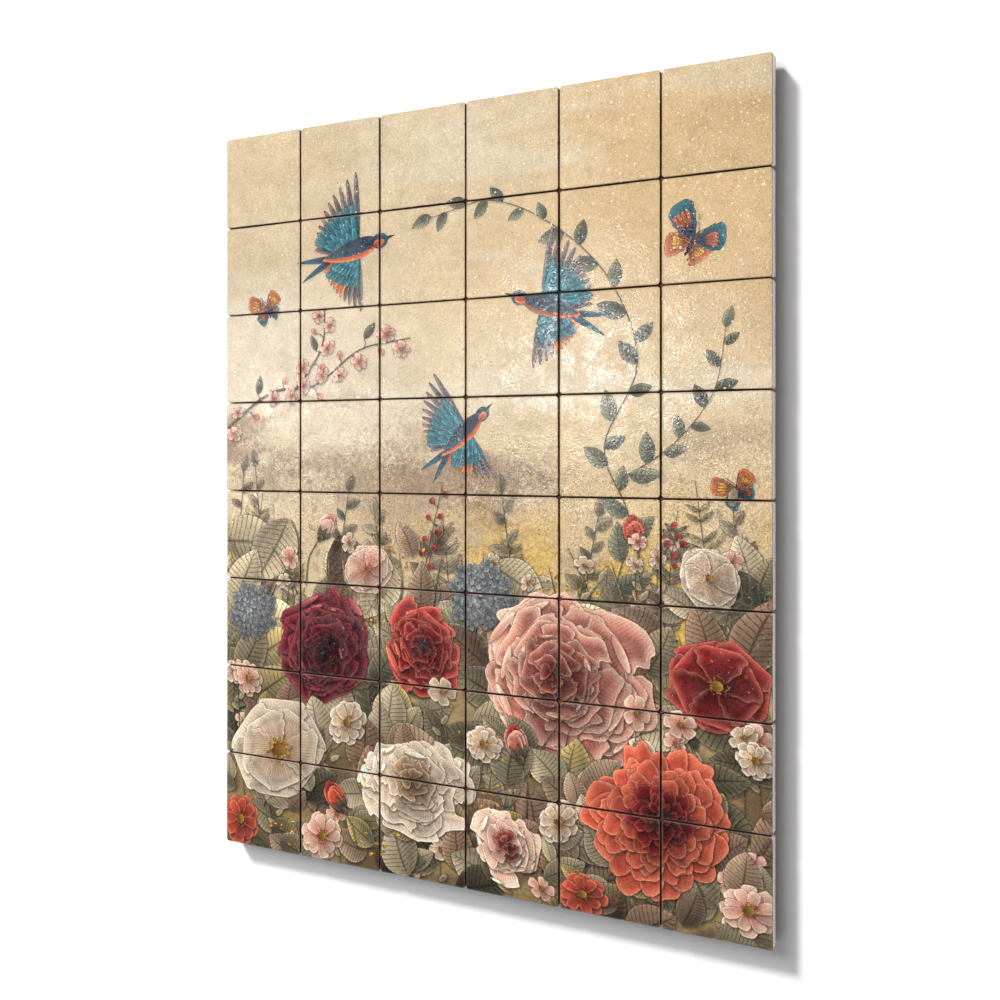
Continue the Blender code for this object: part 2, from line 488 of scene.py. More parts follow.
class Ribbon:
    """A stem or tendril: a band along a smooth curve, thinner towards its end."""

    SHADOW_SHIFT = (0.6, -1.0)
    SHADOW_BLUR = 1.5
    SHADOW = 0.35

    def __init__(self, points, start, end, colour, opacity=1.0):
        self.path = curve(points)
        self.start = start
        self.end = end
        self.colour = rgb(colour)
        self.opacity = opacity
        low = self.path.min(0)
        high = self.path.max(0)
        self.middle = (low + high) / 2
        self.radius = float(np.hypot(*(high - low))) / 2 + start + REACH_MARGIN_MM
        self.crisp = opacity > CRISP_OPACITY

    def halves(self):
        return np.linspace(self.start, self.end, len(self.path))

    def outline(self):
        run = np.gradient(self.path, axis=0)
        run /= np.maximum(np.hypot(run[:, 0], run[:, 1]), 1e-9)[:, None]
        side = np.stack([-run[:, 1], run[:, 0]], 1) * self.halves()[:, None]
        return np.concatenate([self.path + side, (self.path - side)[::-1]])

    def gap(self, points):
        """Distance outside the band's edge, and the share across it."""
        x = points[:, 0]
        y = points[:, 1]
        best = np.full(len(x), 1e9)
        across = np.zeros(len(x))
        halves = self.halves()
        for i in range(len(self.path) - 1):
            a = self.path[i]
            d = self.path[i + 1] - a
            square = max(float(d @ d), 1e-9)
            share = np.clip(((x - a[0]) * d[0] + (y - a[1]) * d[1]) / square, 0, 1)
            ox = x - a[0] - share * d[0]
            oy = y - a[1] - share * d[1]
            half = halves[i] + (halves[i + 1] - halves[i]) * share
            gap = np.hypot(ox, oy) - half
            closer = gap < best
            best = np.where(closer, gap, best)
            side = (d[0] * oy - d[1] * ox) / math.sqrt(square) / half
            across = np.where(closer, side, across)
        return best, np.clip(across, -1, 1)

    def contains(self, points):
        return np.zeros(len(points), dtype=bool)

    def paint(self, canvas, near):
        low = self.path.min(0) - 4
        high = self.path.max(0) + 4
        held = ((canvas.middles[near] > low) & (canvas.middles[near] < high)).all(1)
        near = near[held]
        if not len(near):
            return
        rows = canvas.corners_of(near)
        far, _ = self.gap(canvas.points[rows] - self.SHADOW_SHIFT)
        dark = smooth(1 - (far + 0.4) / self.SHADOW_BLUR)
        canvas.shade(rows, 0.5 * self.SHADOW * self.opacity * dark)
        gap, _ = self.gap(canvas.middles[near])
        covered = near[gap < 0]
        rows = canvas.corners_of(covered)
        gap, across = self.gap(canvas.points[rows])
        colour = self.colour * (1 + 0.28 * across)[:, None]
        lines = unlined(len(rows))
        if self.opacity > OUTLINED_OPACITY:
            lines[:, 3] = 0.3 - gap
        canvas.cover(rows, colour, self.opacity, lines)


def curve(points):
    """Points along a smooth curve that passes through the given ones."""
    p = np.array(points, dtype=float)
    p = np.concatenate([[2 * p[0] - p[1]], p, [2 * p[-1] - p[-2]]])
    out = []
    for i in range(1, len(p) - 2):
        a, b, c, d = p[i - 1:i + 3]
        for t in np.arange(CURVE_STEPS) / CURVE_STEPS:
            out.append(
                0.5 * (2 * b + (c - a) * t + (2 * a - 5 * b + 4 * c - d) * t ** 2
                + (3 * b - a - 3 * c + d) * t ** 3))
    out.append(p[-2])
    return np.array(out)


def polar(angle, length=1.0):
    return np.array([math.cos(angle), math.sin(angle)]) * length


def heading_at(path, share):
    """A point on a path and the direction that it runs in there."""
    k = int(share * (len(path) - 2))
    run = path[k + 1] - path[k]
    return path[k], math.atan2(run[1], run[0])


def blade(origin, angle, length, half, ink, squash=None, **more):
    """A Blade from an angle and lengths, in a plane that may be foreshortened."""
    origin = np.array(origin, dtype=float)
    along = polar(angle, length)
    across = polar(angle + math.pi / 2, half)
    if squash is not None:
        middle, matrix = squash
        origin = middle + matrix @ (origin - middle)
        along = matrix @ along
        across = matrix @ across
    return Blade(origin, along, across, ink, **more)


def facing_aside(centre, angle, ratio):
    """Foreshortening of a flower that faces a little to one side."""
    c, s = math.cos(angle), math.sin(angle)
    turn = np.array([[c, -s], [s, c]])
    return np.array(centre, dtype=float), turn @ np.diag([ratio, 1.0]) @ turn.T


def disc(centre, radius, ink, squash=None, **more):
    """A round spot, as a blade with round ends."""
    start = np.array(centre, dtype=float) - np.array([radius, 0.0])
    return blade(start, 0.0, 2 * radius, radius, ink, squash, base=0.5, tip=0.5, **more)


# Inks: colours at the base, tip, edge and lines, the edge colour's share, and the lines' number.
PINK_PETAL = Ink(PINK_DEEP, PINK, PINK_PALE, (120, 60, 52), 0.8, 9, rise=0.3, fold=0.2)
PINK_HEART = Ink((124, 46, 42), (206, 120, 100), PINK_PALE, (104, 44, 40), 0.6, 6, rise=0.35, fold=0.15)
PINK_CURL = Ink((244, 206, 182), (226, 160, 136), line=(150, 84, 70), side=0.2)
RED_PETAL = Ink(CRIMSON_DEEP, CRIMSON, CORAL_PALE, (70, 14, 18), 0.5, 8, rise=0.25, fold=0.25)
RED_HEART = Ink((66, 12, 16), (150, 40, 40), CORAL_PALE, (52, 10, 14), 0.4, rise=0.3)
RED_CURL = Ink((230, 128, 104), (196, 74, 62), line=(90, 24, 24), side=0.25)
WINE_PETAL = Ink(BURGUNDY_DEEP, BURGUNDY, BURGUNDY_PALE, (34, 8, 14), 0.6, 8, rise=0.25, fold=0.3)
WINE_HEART = Ink((32, 6, 14), (88, 24, 34), BURGUNDY_PALE, (24, 6, 12), 0.5, rise=0.3)
WINE_CURL = Ink((180, 98, 100), (130, 50, 60), line=(48, 12, 20), side=0.3)
CREAM_PETAL = Ink(CREAM_SHADE, CREAM, CREAM_LIGHT, (146, 112, 86), 0.6, 8, rise=0.3, fold=0.12)
CREAM_HEART = Ink((138, 104, 66), CREAM_SHADE, CREAM, (110, 88, 60), 0.6, 5, rise=0.3, fold=0.1)
CREAM_CURL = Ink((252, 244, 224), (236, 218, 186), line=(160, 138, 104), side=0.16)
CORAL_PETAL = Ink((148, 44, 36), CORAL, CORAL_PALE, (118, 40, 32), 0.55, 10, rise=0.12, fold=0.1)
BLUSH_PETAL = Ink(PINK, PINK_PALE, CREAM, (156, 98, 84), 0.6, 6, rise=0.2)
CURLS = {
    PINK_PETAL: PINK_CURL, RED_PETAL: RED_CURL, WINE_PETAL: WINE_CURL, CREAM_PETAL: CREAM_CURL,
    BLUSH_PETAL: CREAM_CURL}
STAMEN = Ink(YOLK_DEEP, YOLK, YOLK_PALE, (110, 70, 30), shadow=0.25)
LEAF_A = Ink(LEAF_DARK, LEAF_OLIVE, LEAF_SAGE, LEAF_LINE, 0.4, 12, rib=True, side=0.2)
LEAF_B = Ink(LEAF_OLIVE, LEAF_SAGE, LEAF_GREY, LEAF_LINE, 0.5, 13, rib=True, side=0.22)
LEAF_C = Ink(LEAF_SAGE, LEAF_GREY, (186, 172, 142), LEAF_LINE, 0.5, 14, rib=True, side=0.24)
LEAF_D = Ink(TAUPE_DARK, LEAF_BROWN, (158, 128, 98), (40, 28, 20), 0.45, 13, rib=True, side=0.22)
LEAF_E = Ink(LEAF_OLIVE, STRAW, STRAW_PALE, (62, 46, 26), 0.45, 14, rib=True, side=0.24)
LEAF_F = Ink(TAUPE_DARK, TAUPE, (176, 152, 128), (50, 36, 28), 0.45, 15, rib=True, side=0.24)
LEAF_G = Ink(
    (58, 56, 44), (96, 88, 68), (128, 114, 88), (30, 26, 20), 0.3, 8, rib=True, side=0.3, pale=True)
LEAF_H = Ink(
    (60, 44, 34), (112, 86, 66), (150, 120, 92), (36, 24, 18), 0.35, 9, rib=True, side=0.3, pale=True)
SKY_LEAF = Ink(
    (92, 92, 72), (130, 128, 104), (164, 158, 130), (46, 44, 34), 0.35, 8, rib=True, side=0.3,
    shadow=0.12)
FAINT_LEAF = Ink(LEAF_GREY, (164, 154, 126), line=(112, 104, 84), hatch=6, rib=True, shadow=0.0)
WING_TEAL = Ink(NAVY, TEAL, TEAL_PALE, (18, 32, 42), 0.3, 5, shadow=0.12)
FEATHER = Ink(
    (40, 84, 96), (118, 100, 96), (176, 152, 136), (40, 34, 36), 0.5, 16, rib=True, side=0.3,
    shadow=0.12)
COVERT = Ink(
    (26, 62, 80), (50, 124, 136), (126, 178, 176), (16, 34, 46), 0.55, 10, rib=True, side=0.25,
    shadow=0.2)
TAWNY = Ink(
    (122, 58, 40), (206, 118, 76), (236, 184, 140), (84, 40, 28), 0.4, 16, rib=True, side=0.2,
    shadow=0.12)
GRASS = Ink(LEAF_DARK, STRAW, STRAW_PALE, (62, 52, 34), side=0.3, shadow=0.3)
GLINT = Ink(YOLK_DEEP, GOLD_LEAF, (240, 206, 120), (128, 92, 40), 0.4, shadow=0.0)
WING_RUST = Ink((126, 62, 42), RUST, RUST_PALE, (72, 38, 28), 0.35, 5, shadow=0.12)
WING_VEIN = Ink(YOLK_DEEP, YOLK, YOLK_PALE, (110, 70, 30), shadow=0.0)
BODY_NAVY = Ink(NAVY, (46, 84, 98), TEAL, (18, 26, 36), 0.3, 4, shadow=0.1)
BODY_RUST = Ink((176, 78, 48), RUST, (232, 178, 130), (110, 54, 36), 0.4, 8, side=0.25, shadow=0.0)
BEAK = Ink((40, 30, 26), (72, 54, 42), line=(30, 20, 18), shadow=0.0)
BUD = Ink(PINK_DEEP, PINK, PINK_PALE, (112, 64, 54), 0.5, 4)
FLORET = Ink((98, 104, 112), (148, 152, 152), (192, 190, 180), (66, 70, 76), 0.5)
BERRY = Ink(CRIMSON_DEEP, CRIMSON, CORAL_PALE, (70, 16, 20), 0.25)


def bloom(rng, centre, radius, petals, ink, heart, slim, tip, lean, loose, ratio=0.88, ruffle=0.03):
    """A full flower: petals in a spiral, from the outermost to the heart.

    loose says how far the petals stray from an even spiral and how frilled they are.
    """
    centre = np.array(centre, dtype=float)
    squash = facing_aside(centre, lean, ratio)
    drift = polar(rng.uniform(0, 6.3), radius * loose * 1.2)
    for i in range(petals):
        share = 1 - i / petals
        reach = radius * (HOLLOW + (1 - HOLLOW) * share ** 0.72)
        reach *= 1 + loose * rng.uniform(-1.2, 0.8)
        angle = i * GOLDEN_ANGLE + 3.0 * loose * rng.uniform(-1, 1)
        start = reach * rng.uniform(0.1, 0.3)
        length = reach - start
        half = slim * length * rng.uniform(0.8, 1.0 + 3 * loose) * (1.35 - 0.35 * share)
        tone = 0.78 + 0.3 * share + rng.uniform(-0.1, 0.08) + 0.1 * math.sin(angle - 0.9)
        root = centre + drift * (1 - share) + polar(angle, start)
        yield blade(
            root, angle, length, half, ink if share > 0.3 else heart, squash, base=0.75, tip=tip,
            bend=rng.uniform(-0.45, 0.45), ruffle=ruffle * rng.uniform(0.5, 1.5),
            waves=rng.uniform(2, 5), frill=0.7 * loose * rng.uniform(0.3, 1.0), tone=tone,
            seed=rng.randint(0, 99))
        if loose > 0.09 and share > 0.2 and rng.random() < 0.3:
            rim = root + polar(angle, length * 0.93)
            aside = angle + math.pi / 2
            spot = rim - polar(aside, half * rng.uniform(0.5, 0.75))
            yield blade(
                spot, aside + rng.uniform(-0.2, 0.2), half * rng.uniform(0.9, 1.3),
                -half * rng.uniform(0.10, 0.17), CURLS[ink], squash, base=0.6, tip=0.6,
                bend=rng.uniform(-0.6, 0.6), tone=min(tone, 1.02), seed=rng.randint(0, 99))


def open_flower(
        rng, centre, radius, petals, ink, heart, heart_size=0.2, slim=0.55, tip=0.3, lean=0.0,
        ratio=0.85, ruffle=0.05, layers=2):
    """A single flower: broad petals in layers round a heart of stamens."""
    centre = np.array(centre, dtype=float)
    squash = facing_aside(centre, lean, ratio)
    start = rng.uniform(0, math.pi)
    for layer in range(layers):
        size = radius * (1 - 0.14 * layer)
        for i in range(petals):
            angle = start + 2 * math.pi * (i + 0.5 * layer) / petals + rng.uniform(-0.1, 0.1)
            length = size * rng.uniform(0.92, 1.05)
            tone = 0.9 + 0.1 * math.sin(angle - 0.9) + rng.uniform(-0.04, 0.06)
            yield blade(
                centre, angle, length, slim * length, ink, squash, base=0.8, tip=tip,
                bend=rng.uniform(-0.2, 0.2), ruffle=ruffle, waves=rng.uniform(3, 5), tone=tone,
                seed=rng.randint(0, 99))
    yield from stamens(rng, centre, radius * heart_size, heart, squash)


def stamens(rng, centre, radius, ink, squash):
    """The heart of a flower: a disc under a ring of small dots."""
    yield disc(centre, radius * 0.62, ink, squash, tone=0.72)
    count = max(6, int(radius * 2.2))
    for i in range(count):
        angle = 2 * math.pi * i / count + rng.uniform(-0.2, 0.2)
        spot = centre + polar(angle, radius * rng.uniform(0.55, 1.1))
        yield disc(spot, max(0.7, radius * 0.11), ink, squash, tone=rng.uniform(0.9, 1.2))


def leaf(rng, spot, angle, length, ink, slim=0.24, opacity=1.0, tone=None):
    """One pointed leaf with a bent middle."""
    tone = rng.uniform(0.8, 1.15) if tone is None else tone
    return blade(
        spot, angle, length, length * slim, ink, base=0.75, tip=0.95, bend=rng.uniform(-0.8, 0.8),
        tone=tone, opacity=opacity, seed=rng.randint(0, 99))


def sprig(rng, points, leaves, size, ink, stem=TWIG, thick=0.9, opacity=1.0, slim=0.26):
    """A stem with leaves on alternate sides and one at its tip."""
    path = curve(points)
    yield Ribbon(points, thick, thick * 0.4, stem, opacity)
    for i in range(leaves):
        share = (i + 0.6) / leaves
        spot, heading = heading_at(path, share)
        side = 1 if i % 2 else -1
        length = size * rng.uniform(0.75, 1.15) * (1 - 0.35 * share)
        yield leaf(rng, spot, heading + side * rng.uniform(0.55, 1.0), length, ink, slim, opacity)
    spot, heading = heading_at(path, 1.0)
    yield leaf(rng, path[-1], heading, size * 0.7, ink, slim, opacity)


def frond(rng, points, pairs, size, ink):
    """A fern: slim leaflets in pairs, shorter towards the tip."""
    path = curve(points)
    yield Ribbon(points, 0.7, 0.3, TWIG)
    for i in range(pairs):
        share = (i + 1) / (pairs + 1)
        spot, heading = heading_at(path, share)
        length = size * math.sin(math.pi * (0.15 + 0.76 * (1 - share))) + 2.0
        for side in (-1, 1):
            yield blade(
                spot, heading + side * 1.05, length, length * 0.13 + 0.4, ink, base=0.5, tip=0.7,
                bend=side * -0.5, tone=rng.uniform(0.85, 1.1))


def berries(rng, points, count, size):
    """A twig of round berries on short stalks."""
    path = curve(points)
    yield Ribbon(points, 0.8, 0.4, TWIG)
    for i in range(count):
        spot, heading = heading_at(path, 0.35 + 0.65 * (i + 0.5) / count)
        end = spot + polar(heading + (1.0 if i % 2 else -1.0), size * rng.uniform(1.6, 2.8))
        yield Ribbon([spot, end], 0.4, 0.35, TWIG)
        yield disc(end, size * rng.uniform(0.8, 1.1), BERRY, tone=rng.uniform(0.9, 1.1))


def rosebud(rng, points, size, ink, heart):
    """A closed bud on a stem: overlapping petals held by sepals."""
    path = curve(points)
    spot, heading = heading_at(path, 1.0)
    yield Ribbon(points, 1.3, 0.9, LEAF_OLIVE)
    for turn, part, style in (
            (-0.30, 0.92, ink), (0.32, 0.95, ink), (0.0, 1.05, heart), (-0.14, 0.86, ink),
            (0.17, 0.80, ink)):
        yield blade(
            path[-1], heading + turn, size * part, size * 0.25, style, base=0.55, tip=0.45,
            bend=-turn * 1.5, tone=rng.uniform(0.9, 1.1), seed=rng.randint(0, 99))
    for turn in (-0.75, 0.7, -0.1):
        yield blade(
            path[-1], heading + turn, size * 0.5, size * 0.09, LEAF_A, base=0.5, tip=0.9,
            bend=-turn * 1.2)
    yield disc(path[-1], size * 0.13, LEAF_A)


def grass(rng, count, lowest, highest, size):
    """Slim bent blades that stand up between the leaves, rooted between two heights."""
    for i in range(count):
        spot = (rng.uniform(0, WIDTH_MM), rng.uniform(highest, lowest))
        yield blade(
            spot, math.pi / 2 + rng.uniform(-0.5, 0.5), size * rng.uniform(0.6, 1.2),
            rng.uniform(0.9, 1.6), GRASS, base=0.3, tip=0.8, bend=rng.uniform(-14, 14),
            tone=rng.uniform(0.7, 1.15))


def glints(rng, count, low, high):
    """Small gilt flecks in loose swarms."""
    for i in range(count):
        if i % 12 == 0:
            swarm = np.array((rng.uniform(0, WIDTH_MM), rng.uniform(low, high)))
        spot = swarm + (rng.gauss(0, 15), rng.gauss(0, 10))
        yield blade(
            spot, rng.uniform(-0.5, 0.5), rng.uniform(3, 8), rng.uniform(0.8, 2.2), GLINT, base=0.5,
            tip=0.6, bend=rng.uniform(-1, 1), tone=rng.uniform(0.85, 1.15))


def wild_flowers(rng, count, low, high, size):
    """Small pale flowers and buds on bare stems."""
    for i in range(count):
        x, y = rng.uniform(8, WIDTH_MM - 8), rng.uniform(low, high)
        lean = rng.uniform(-12, 12)
        yield Ribbon([(x - lean, y - 70), (x - lean * 0.2, y - 34), (x, y)], 0.7, 0.4, TWIG)
        for side in (-1, 1):
            yield leaf(rng, (x - lean * 0.5, y - 40 + 6 * side), 1.57 - side * 0.8, 14, LEAF_C)
        yield from open_flower(
            rng, (x, y), size * rng.uniform(0.8, 1.2), 5, rng.choice([CREAM_PETAL, BLUSH_PETAL]),
            STAMEN, heart_size=0.28, slim=0.42, layers=1, lean=rng.uniform(0, 3), ratio=0.8)


def swallow(spot, heading, size, flip):
    """A small long-winged bird in flight. flip says which side is its back."""
    spot = np.array(spot, dtype=float)
    back = heading + math.pi
    # the forked tail
    for fork in (-0.16, 0.20):
        yield blade(
            spot + polar(back, size * 0.22), back + fork, size * 0.62, size * 0.045, WING_TEAL,
            base=0.4, tip=0.9, bend=fork * 4)
    # each wing: its quills, then three rows of coverts over their roots
    for side, lift, long in ((-flip, 0.85, 0.80), (flip, 1.25, 1.0)):
        root = spot + polar(heading, size * 0.10)
        feathers = 12
        for i in range(feathers):
            share = i / (feathers - 1)
            angle = back - side * (0.25 + lift * (1 - share * 0.75) + 0.35 * (1 - share))
            length = size * long * (0.46 + 0.56 * (1 - share) ** 1.3)
            style = FEATHER if side == flip or share < 0.3 else TAWNY
            yield blade(
                root - polar(heading, size * 0.2 * share), angle, length, size * 0.05, style, base=0.25,
                tip=0.45, bend=side * 0.8, tone=1.1 - 0.14 * (i % 2), seed=i)
        for row, reach, count in ((0, 0.52, 9), (1, 0.36, 7), (2, 0.2, 5)):
            for i in range(count):
                share = i / (count - 1)
                angle = back - side * (0.28 + lift * (1 - share * 0.66) + 0.2 * (1 - share))
                yield blade(
                    root - polar(heading, size * 0.17 * share), angle,
                    size * long * (reach + 0.1 * (1 - share)), size * 0.048, COVERT, base=0.3, tip=0.4,
                    bend=side * 0.5, tone=1.0 + 0.1 * row - 0.12 * (i % 2), seed=i)
    # the body, the head with its beak and throat, and the eye
    chest = spot + polar(heading, size * 0.42)
    yield blade(chest, back, size * 0.86, size * 0.135, BODY_RUST, base=0.55, tip=0.9, bend=-0.2 * flip)
    yield blade(
        chest + polar(heading + flip * math.pi / 2, size * 0.03), back - 0.05 * flip, size * 0.80,
        size * 0.10, BODY_NAVY, base=0.5, tip=0.9, bend=0.3 * flip)
    head = spot + polar(heading, size * 0.34)
    yield blade(
        head + polar(heading, size * 0.20), heading, size * 0.15, size * 0.022, BEAK, base=0.3, tip=1.0)
    yield blade(head, heading, size * 0.24, size * 0.10, BODY_NAVY, base=0.5, tip=0.5)
    yield blade(
        head + polar(heading - 0.9 * flip, size * 0.03), heading, size * 0.17, size * 0.055, BODY_RUST,
        base=0.5, tip=0.6)
    yield disc(head + polar(heading + 0.5 * flip, size * 0.14), size * 0.016, BEAK)


def butterfly(spot, heading, size, fore, hind):
    """A butterfly with its wings spread, one side foreshortened."""
    spot = np.array(spot, dtype=float)
    for side in (-1, 1):
        width = FOLDED_WING if side < 0 else 1.0
        for part, style, turn, long, half in ((0, hind, 2.05, 0.62, 0.27), (1, fore, 1.05, 0.92, 0.30)):
            angle = heading + side * turn
            reach = size * long * width
            root = spot + polar(heading, size * 0.06 * part)
            yield blade(
                root, angle, reach, size * half, style, base=0.8, tip=0.28,
                bend=side * 0.3 * (1 - 2 * part), ruffle=0.05, waves=4)
            for i in range(4):
                vein = angle + (i - 1.5) * 0.17
                yield blade(
                    root + polar(vein, reach * 0.32), vein, reach * 0.46, size * half * 0.17,
                    WING_RUST if style is WING_TEAL else WING_VEIN, base=0.6, tip=0.4)
    yield blade(
        spot - polar(heading, size * 0.34), heading, size * 0.62, size * 0.05, BEAK, base=0.4, tip=0.4)
    for side in (-1, 1):
        tip = spot + polar(heading + side * 0.35, size * 0.62)
        knee = (spot + tip) / 2 + polar(heading, size * 0.12)
        yield Ribbon([spot + polar(heading, size * 0.25), knee, tip], 0.35, 0.3, INK_BROWN)


def blossom_branch(rng, points, flowers, size):
    """A bare branch with small five-petalled blossoms, buds and a few leaves."""
    path = curve(points)
    yield Ribbon(points, 1.9, 0.6, (92, 74, 58))
    for i in range(flowers):
        root, heading = heading_at(path, (i + 0.5) / flowers)
        side = 1 if i % 2 else -1
        spot = root + polar(heading + side * 1.2, rng.uniform(5, 12))
        yield Ribbon([root, (root + spot) / 2 + polar(heading, 2), spot], 0.6, 0.4, TWIG)
        if i % 3 == 2:
            yield blade(spot, heading + side * 0.9, size * 0.8, size * 0.3, BUD, base=0.7, tip=0.5)
        elif i % 5 == 3:
            yield leaf(rng, spot, heading + side * 0.7, size * 1.9, SKY_LEAF)
        else:
            yield from open_flower(
                rng, spot, size * rng.uniform(0.85, 1.15), 5, BLUSH_PETAL, STAMEN, heart_size=0.22,
                slim=0.42, layers=1, lean=rng.uniform(0, 3), ratio=rng.uniform(0.7, 0.95))


def flower_head(rng, centre, radius, florets, size):
    """A rounded head of small four-petalled florets."""
    centre = np.array(centre, dtype=float)
    for i in range(florets):
        share = math.sqrt((i + 0.5) / florets)
        angle = i * GOLDEN_ANGLE
        spot = centre + polar(angle, radius * share)
        start = rng.uniform(0, 1.5)
        tone = 1.08 - 0.28 * share + 0.12 * math.sin(angle - 0.9) + rng.uniform(-0.06, 0.06)
        for k in range(4):
            yield blade(
                spot, start + k * math.pi / 2, size, size * 0.42, FLORET, base=0.7, tip=0.4, tone=tone)
        yield disc(spot, 0.8, STAMEN)


def thicket(rng, count, low, high, size, inks, slim):
    """A mass of leaves across the panel, from its top edge down."""
    for i in range(count):
        share = i / count
        y = high + (low - high) * share + rng.uniform(-14, 14)
        x = rng.uniform(0, WIDTH_MM)
        tone = 1.2 - 0.32 * share + rng.uniform(-0.22, 0.2)
        yield leaf(
            rng, (x, y), math.pi / 2 + rng.uniform(-1.8, 1.8), size * rng.uniform(0.6, 1.25),
            rng.choice(inks), slim * rng.uniform(0.8, 1.25), tone=tone)


def far_growth(rng):
    """Faint stems behind the garden."""
    for i in range(17):
        x = 20 + i * 34
        top = 330 + 60 * math.sin(x * 0.013 + 0.5) + rng.uniform(-30, 40)
        yield from sprig(
            rng, [(x, 250), (x + rng.uniform(-14, 14), 300), (x + rng.uniform(-26, 26), top)], 9, 17,
            FAINT_LEAF, stem=LEAF_GREY, thick=0.7, opacity=0.42)


def upper_half(rng):
    """The vine, the blossom branch and what flies between them."""
    yield from sprig(
        rng, [(452, 300), (470, 380), (446, 450), (478, 530), (452, 610), (396, 668), (330, 700),
        (262, 690)], 22, 35, SKY_LEAF, slim=0.27)
    yield from sprig(rng, [(462, 420), (510, 452), (548, 500), (560, 560)], 9, 29, SKY_LEAF, thick=0.7)
    yield from blossom_branch(rng, [(-4, 470), (60, 512), (120, 520), (176, 556), (236, 566)], 17, 11.5)
    yield from blossom_branch(rng, [(96, 518), (128, 560), (132, 604)], 8, 10.0)
    yield from swallow((164, 662), 0.25, 82, 1)
    yield from swallow((392, 588), math.pi - 0.35, 76, -1)
    yield from swallow((296, 462), math.pi * 0.25, 70, 1)
    yield from butterfly((530, 640), 1.0, 42, WING_TEAL, WING_RUST)
    yield from butterfly((58, 606), 1.9, 30, WING_RUST, WING_TEAL)
    yield from butterfly((572, 410), 2.0, 28, WING_RUST, WING_TEAL)


def tall_growth(rng):
    """Ferns and twigs that stand up out of the garden, as (foot, top, lean)."""
    for x, top, lean in (
            (30, 400, 20), (96, 378, -18), (556, 420, -24), (500, 392, 16), (338, 362, 14),
            (286, 384, -12), (190, 366, 14), (590, 372, -16)):
        yield from frond(
            rng, [(x, 230), (x + lean * 0.4, 310), (x + lean, top)], 15, 19,
            rng.choice([LEAF_B, LEAF_C, LEAF_E]))
    for x, top, lean in (
            (60, 430, -20), (140, 404, 22), (210, 380, -16), (420, 384, 20), (580, 396, -14),
            (360, 406, -20), (8, 424, 16), (250, 356, 18)):
        yield from sprig(
            rng, [(x, 250), (x + lean * 0.5, 330), (x + lean, top)], 9, 27,
            rng.choice([LEAF_B, LEAF_C, LEAF_F]), thick=1.0)
    for x, top, lean in ((248, 412, 26), (528, 376, -22), (8, 372, 18)):
        yield from berries(rng, [(x, 290), (x + lean * 0.4, 345), (x + lean, top)], 9, 3.4)
    yield from rosebud(rng, [(108, 300), (112, 330), (126, 352)], 30, BLUSH_PETAL, PINK_HEART)
    yield from rosebud(rng, [(470, 300), (482, 330), (478, 356)], 30, CORAL_PETAL, RED_HEART)


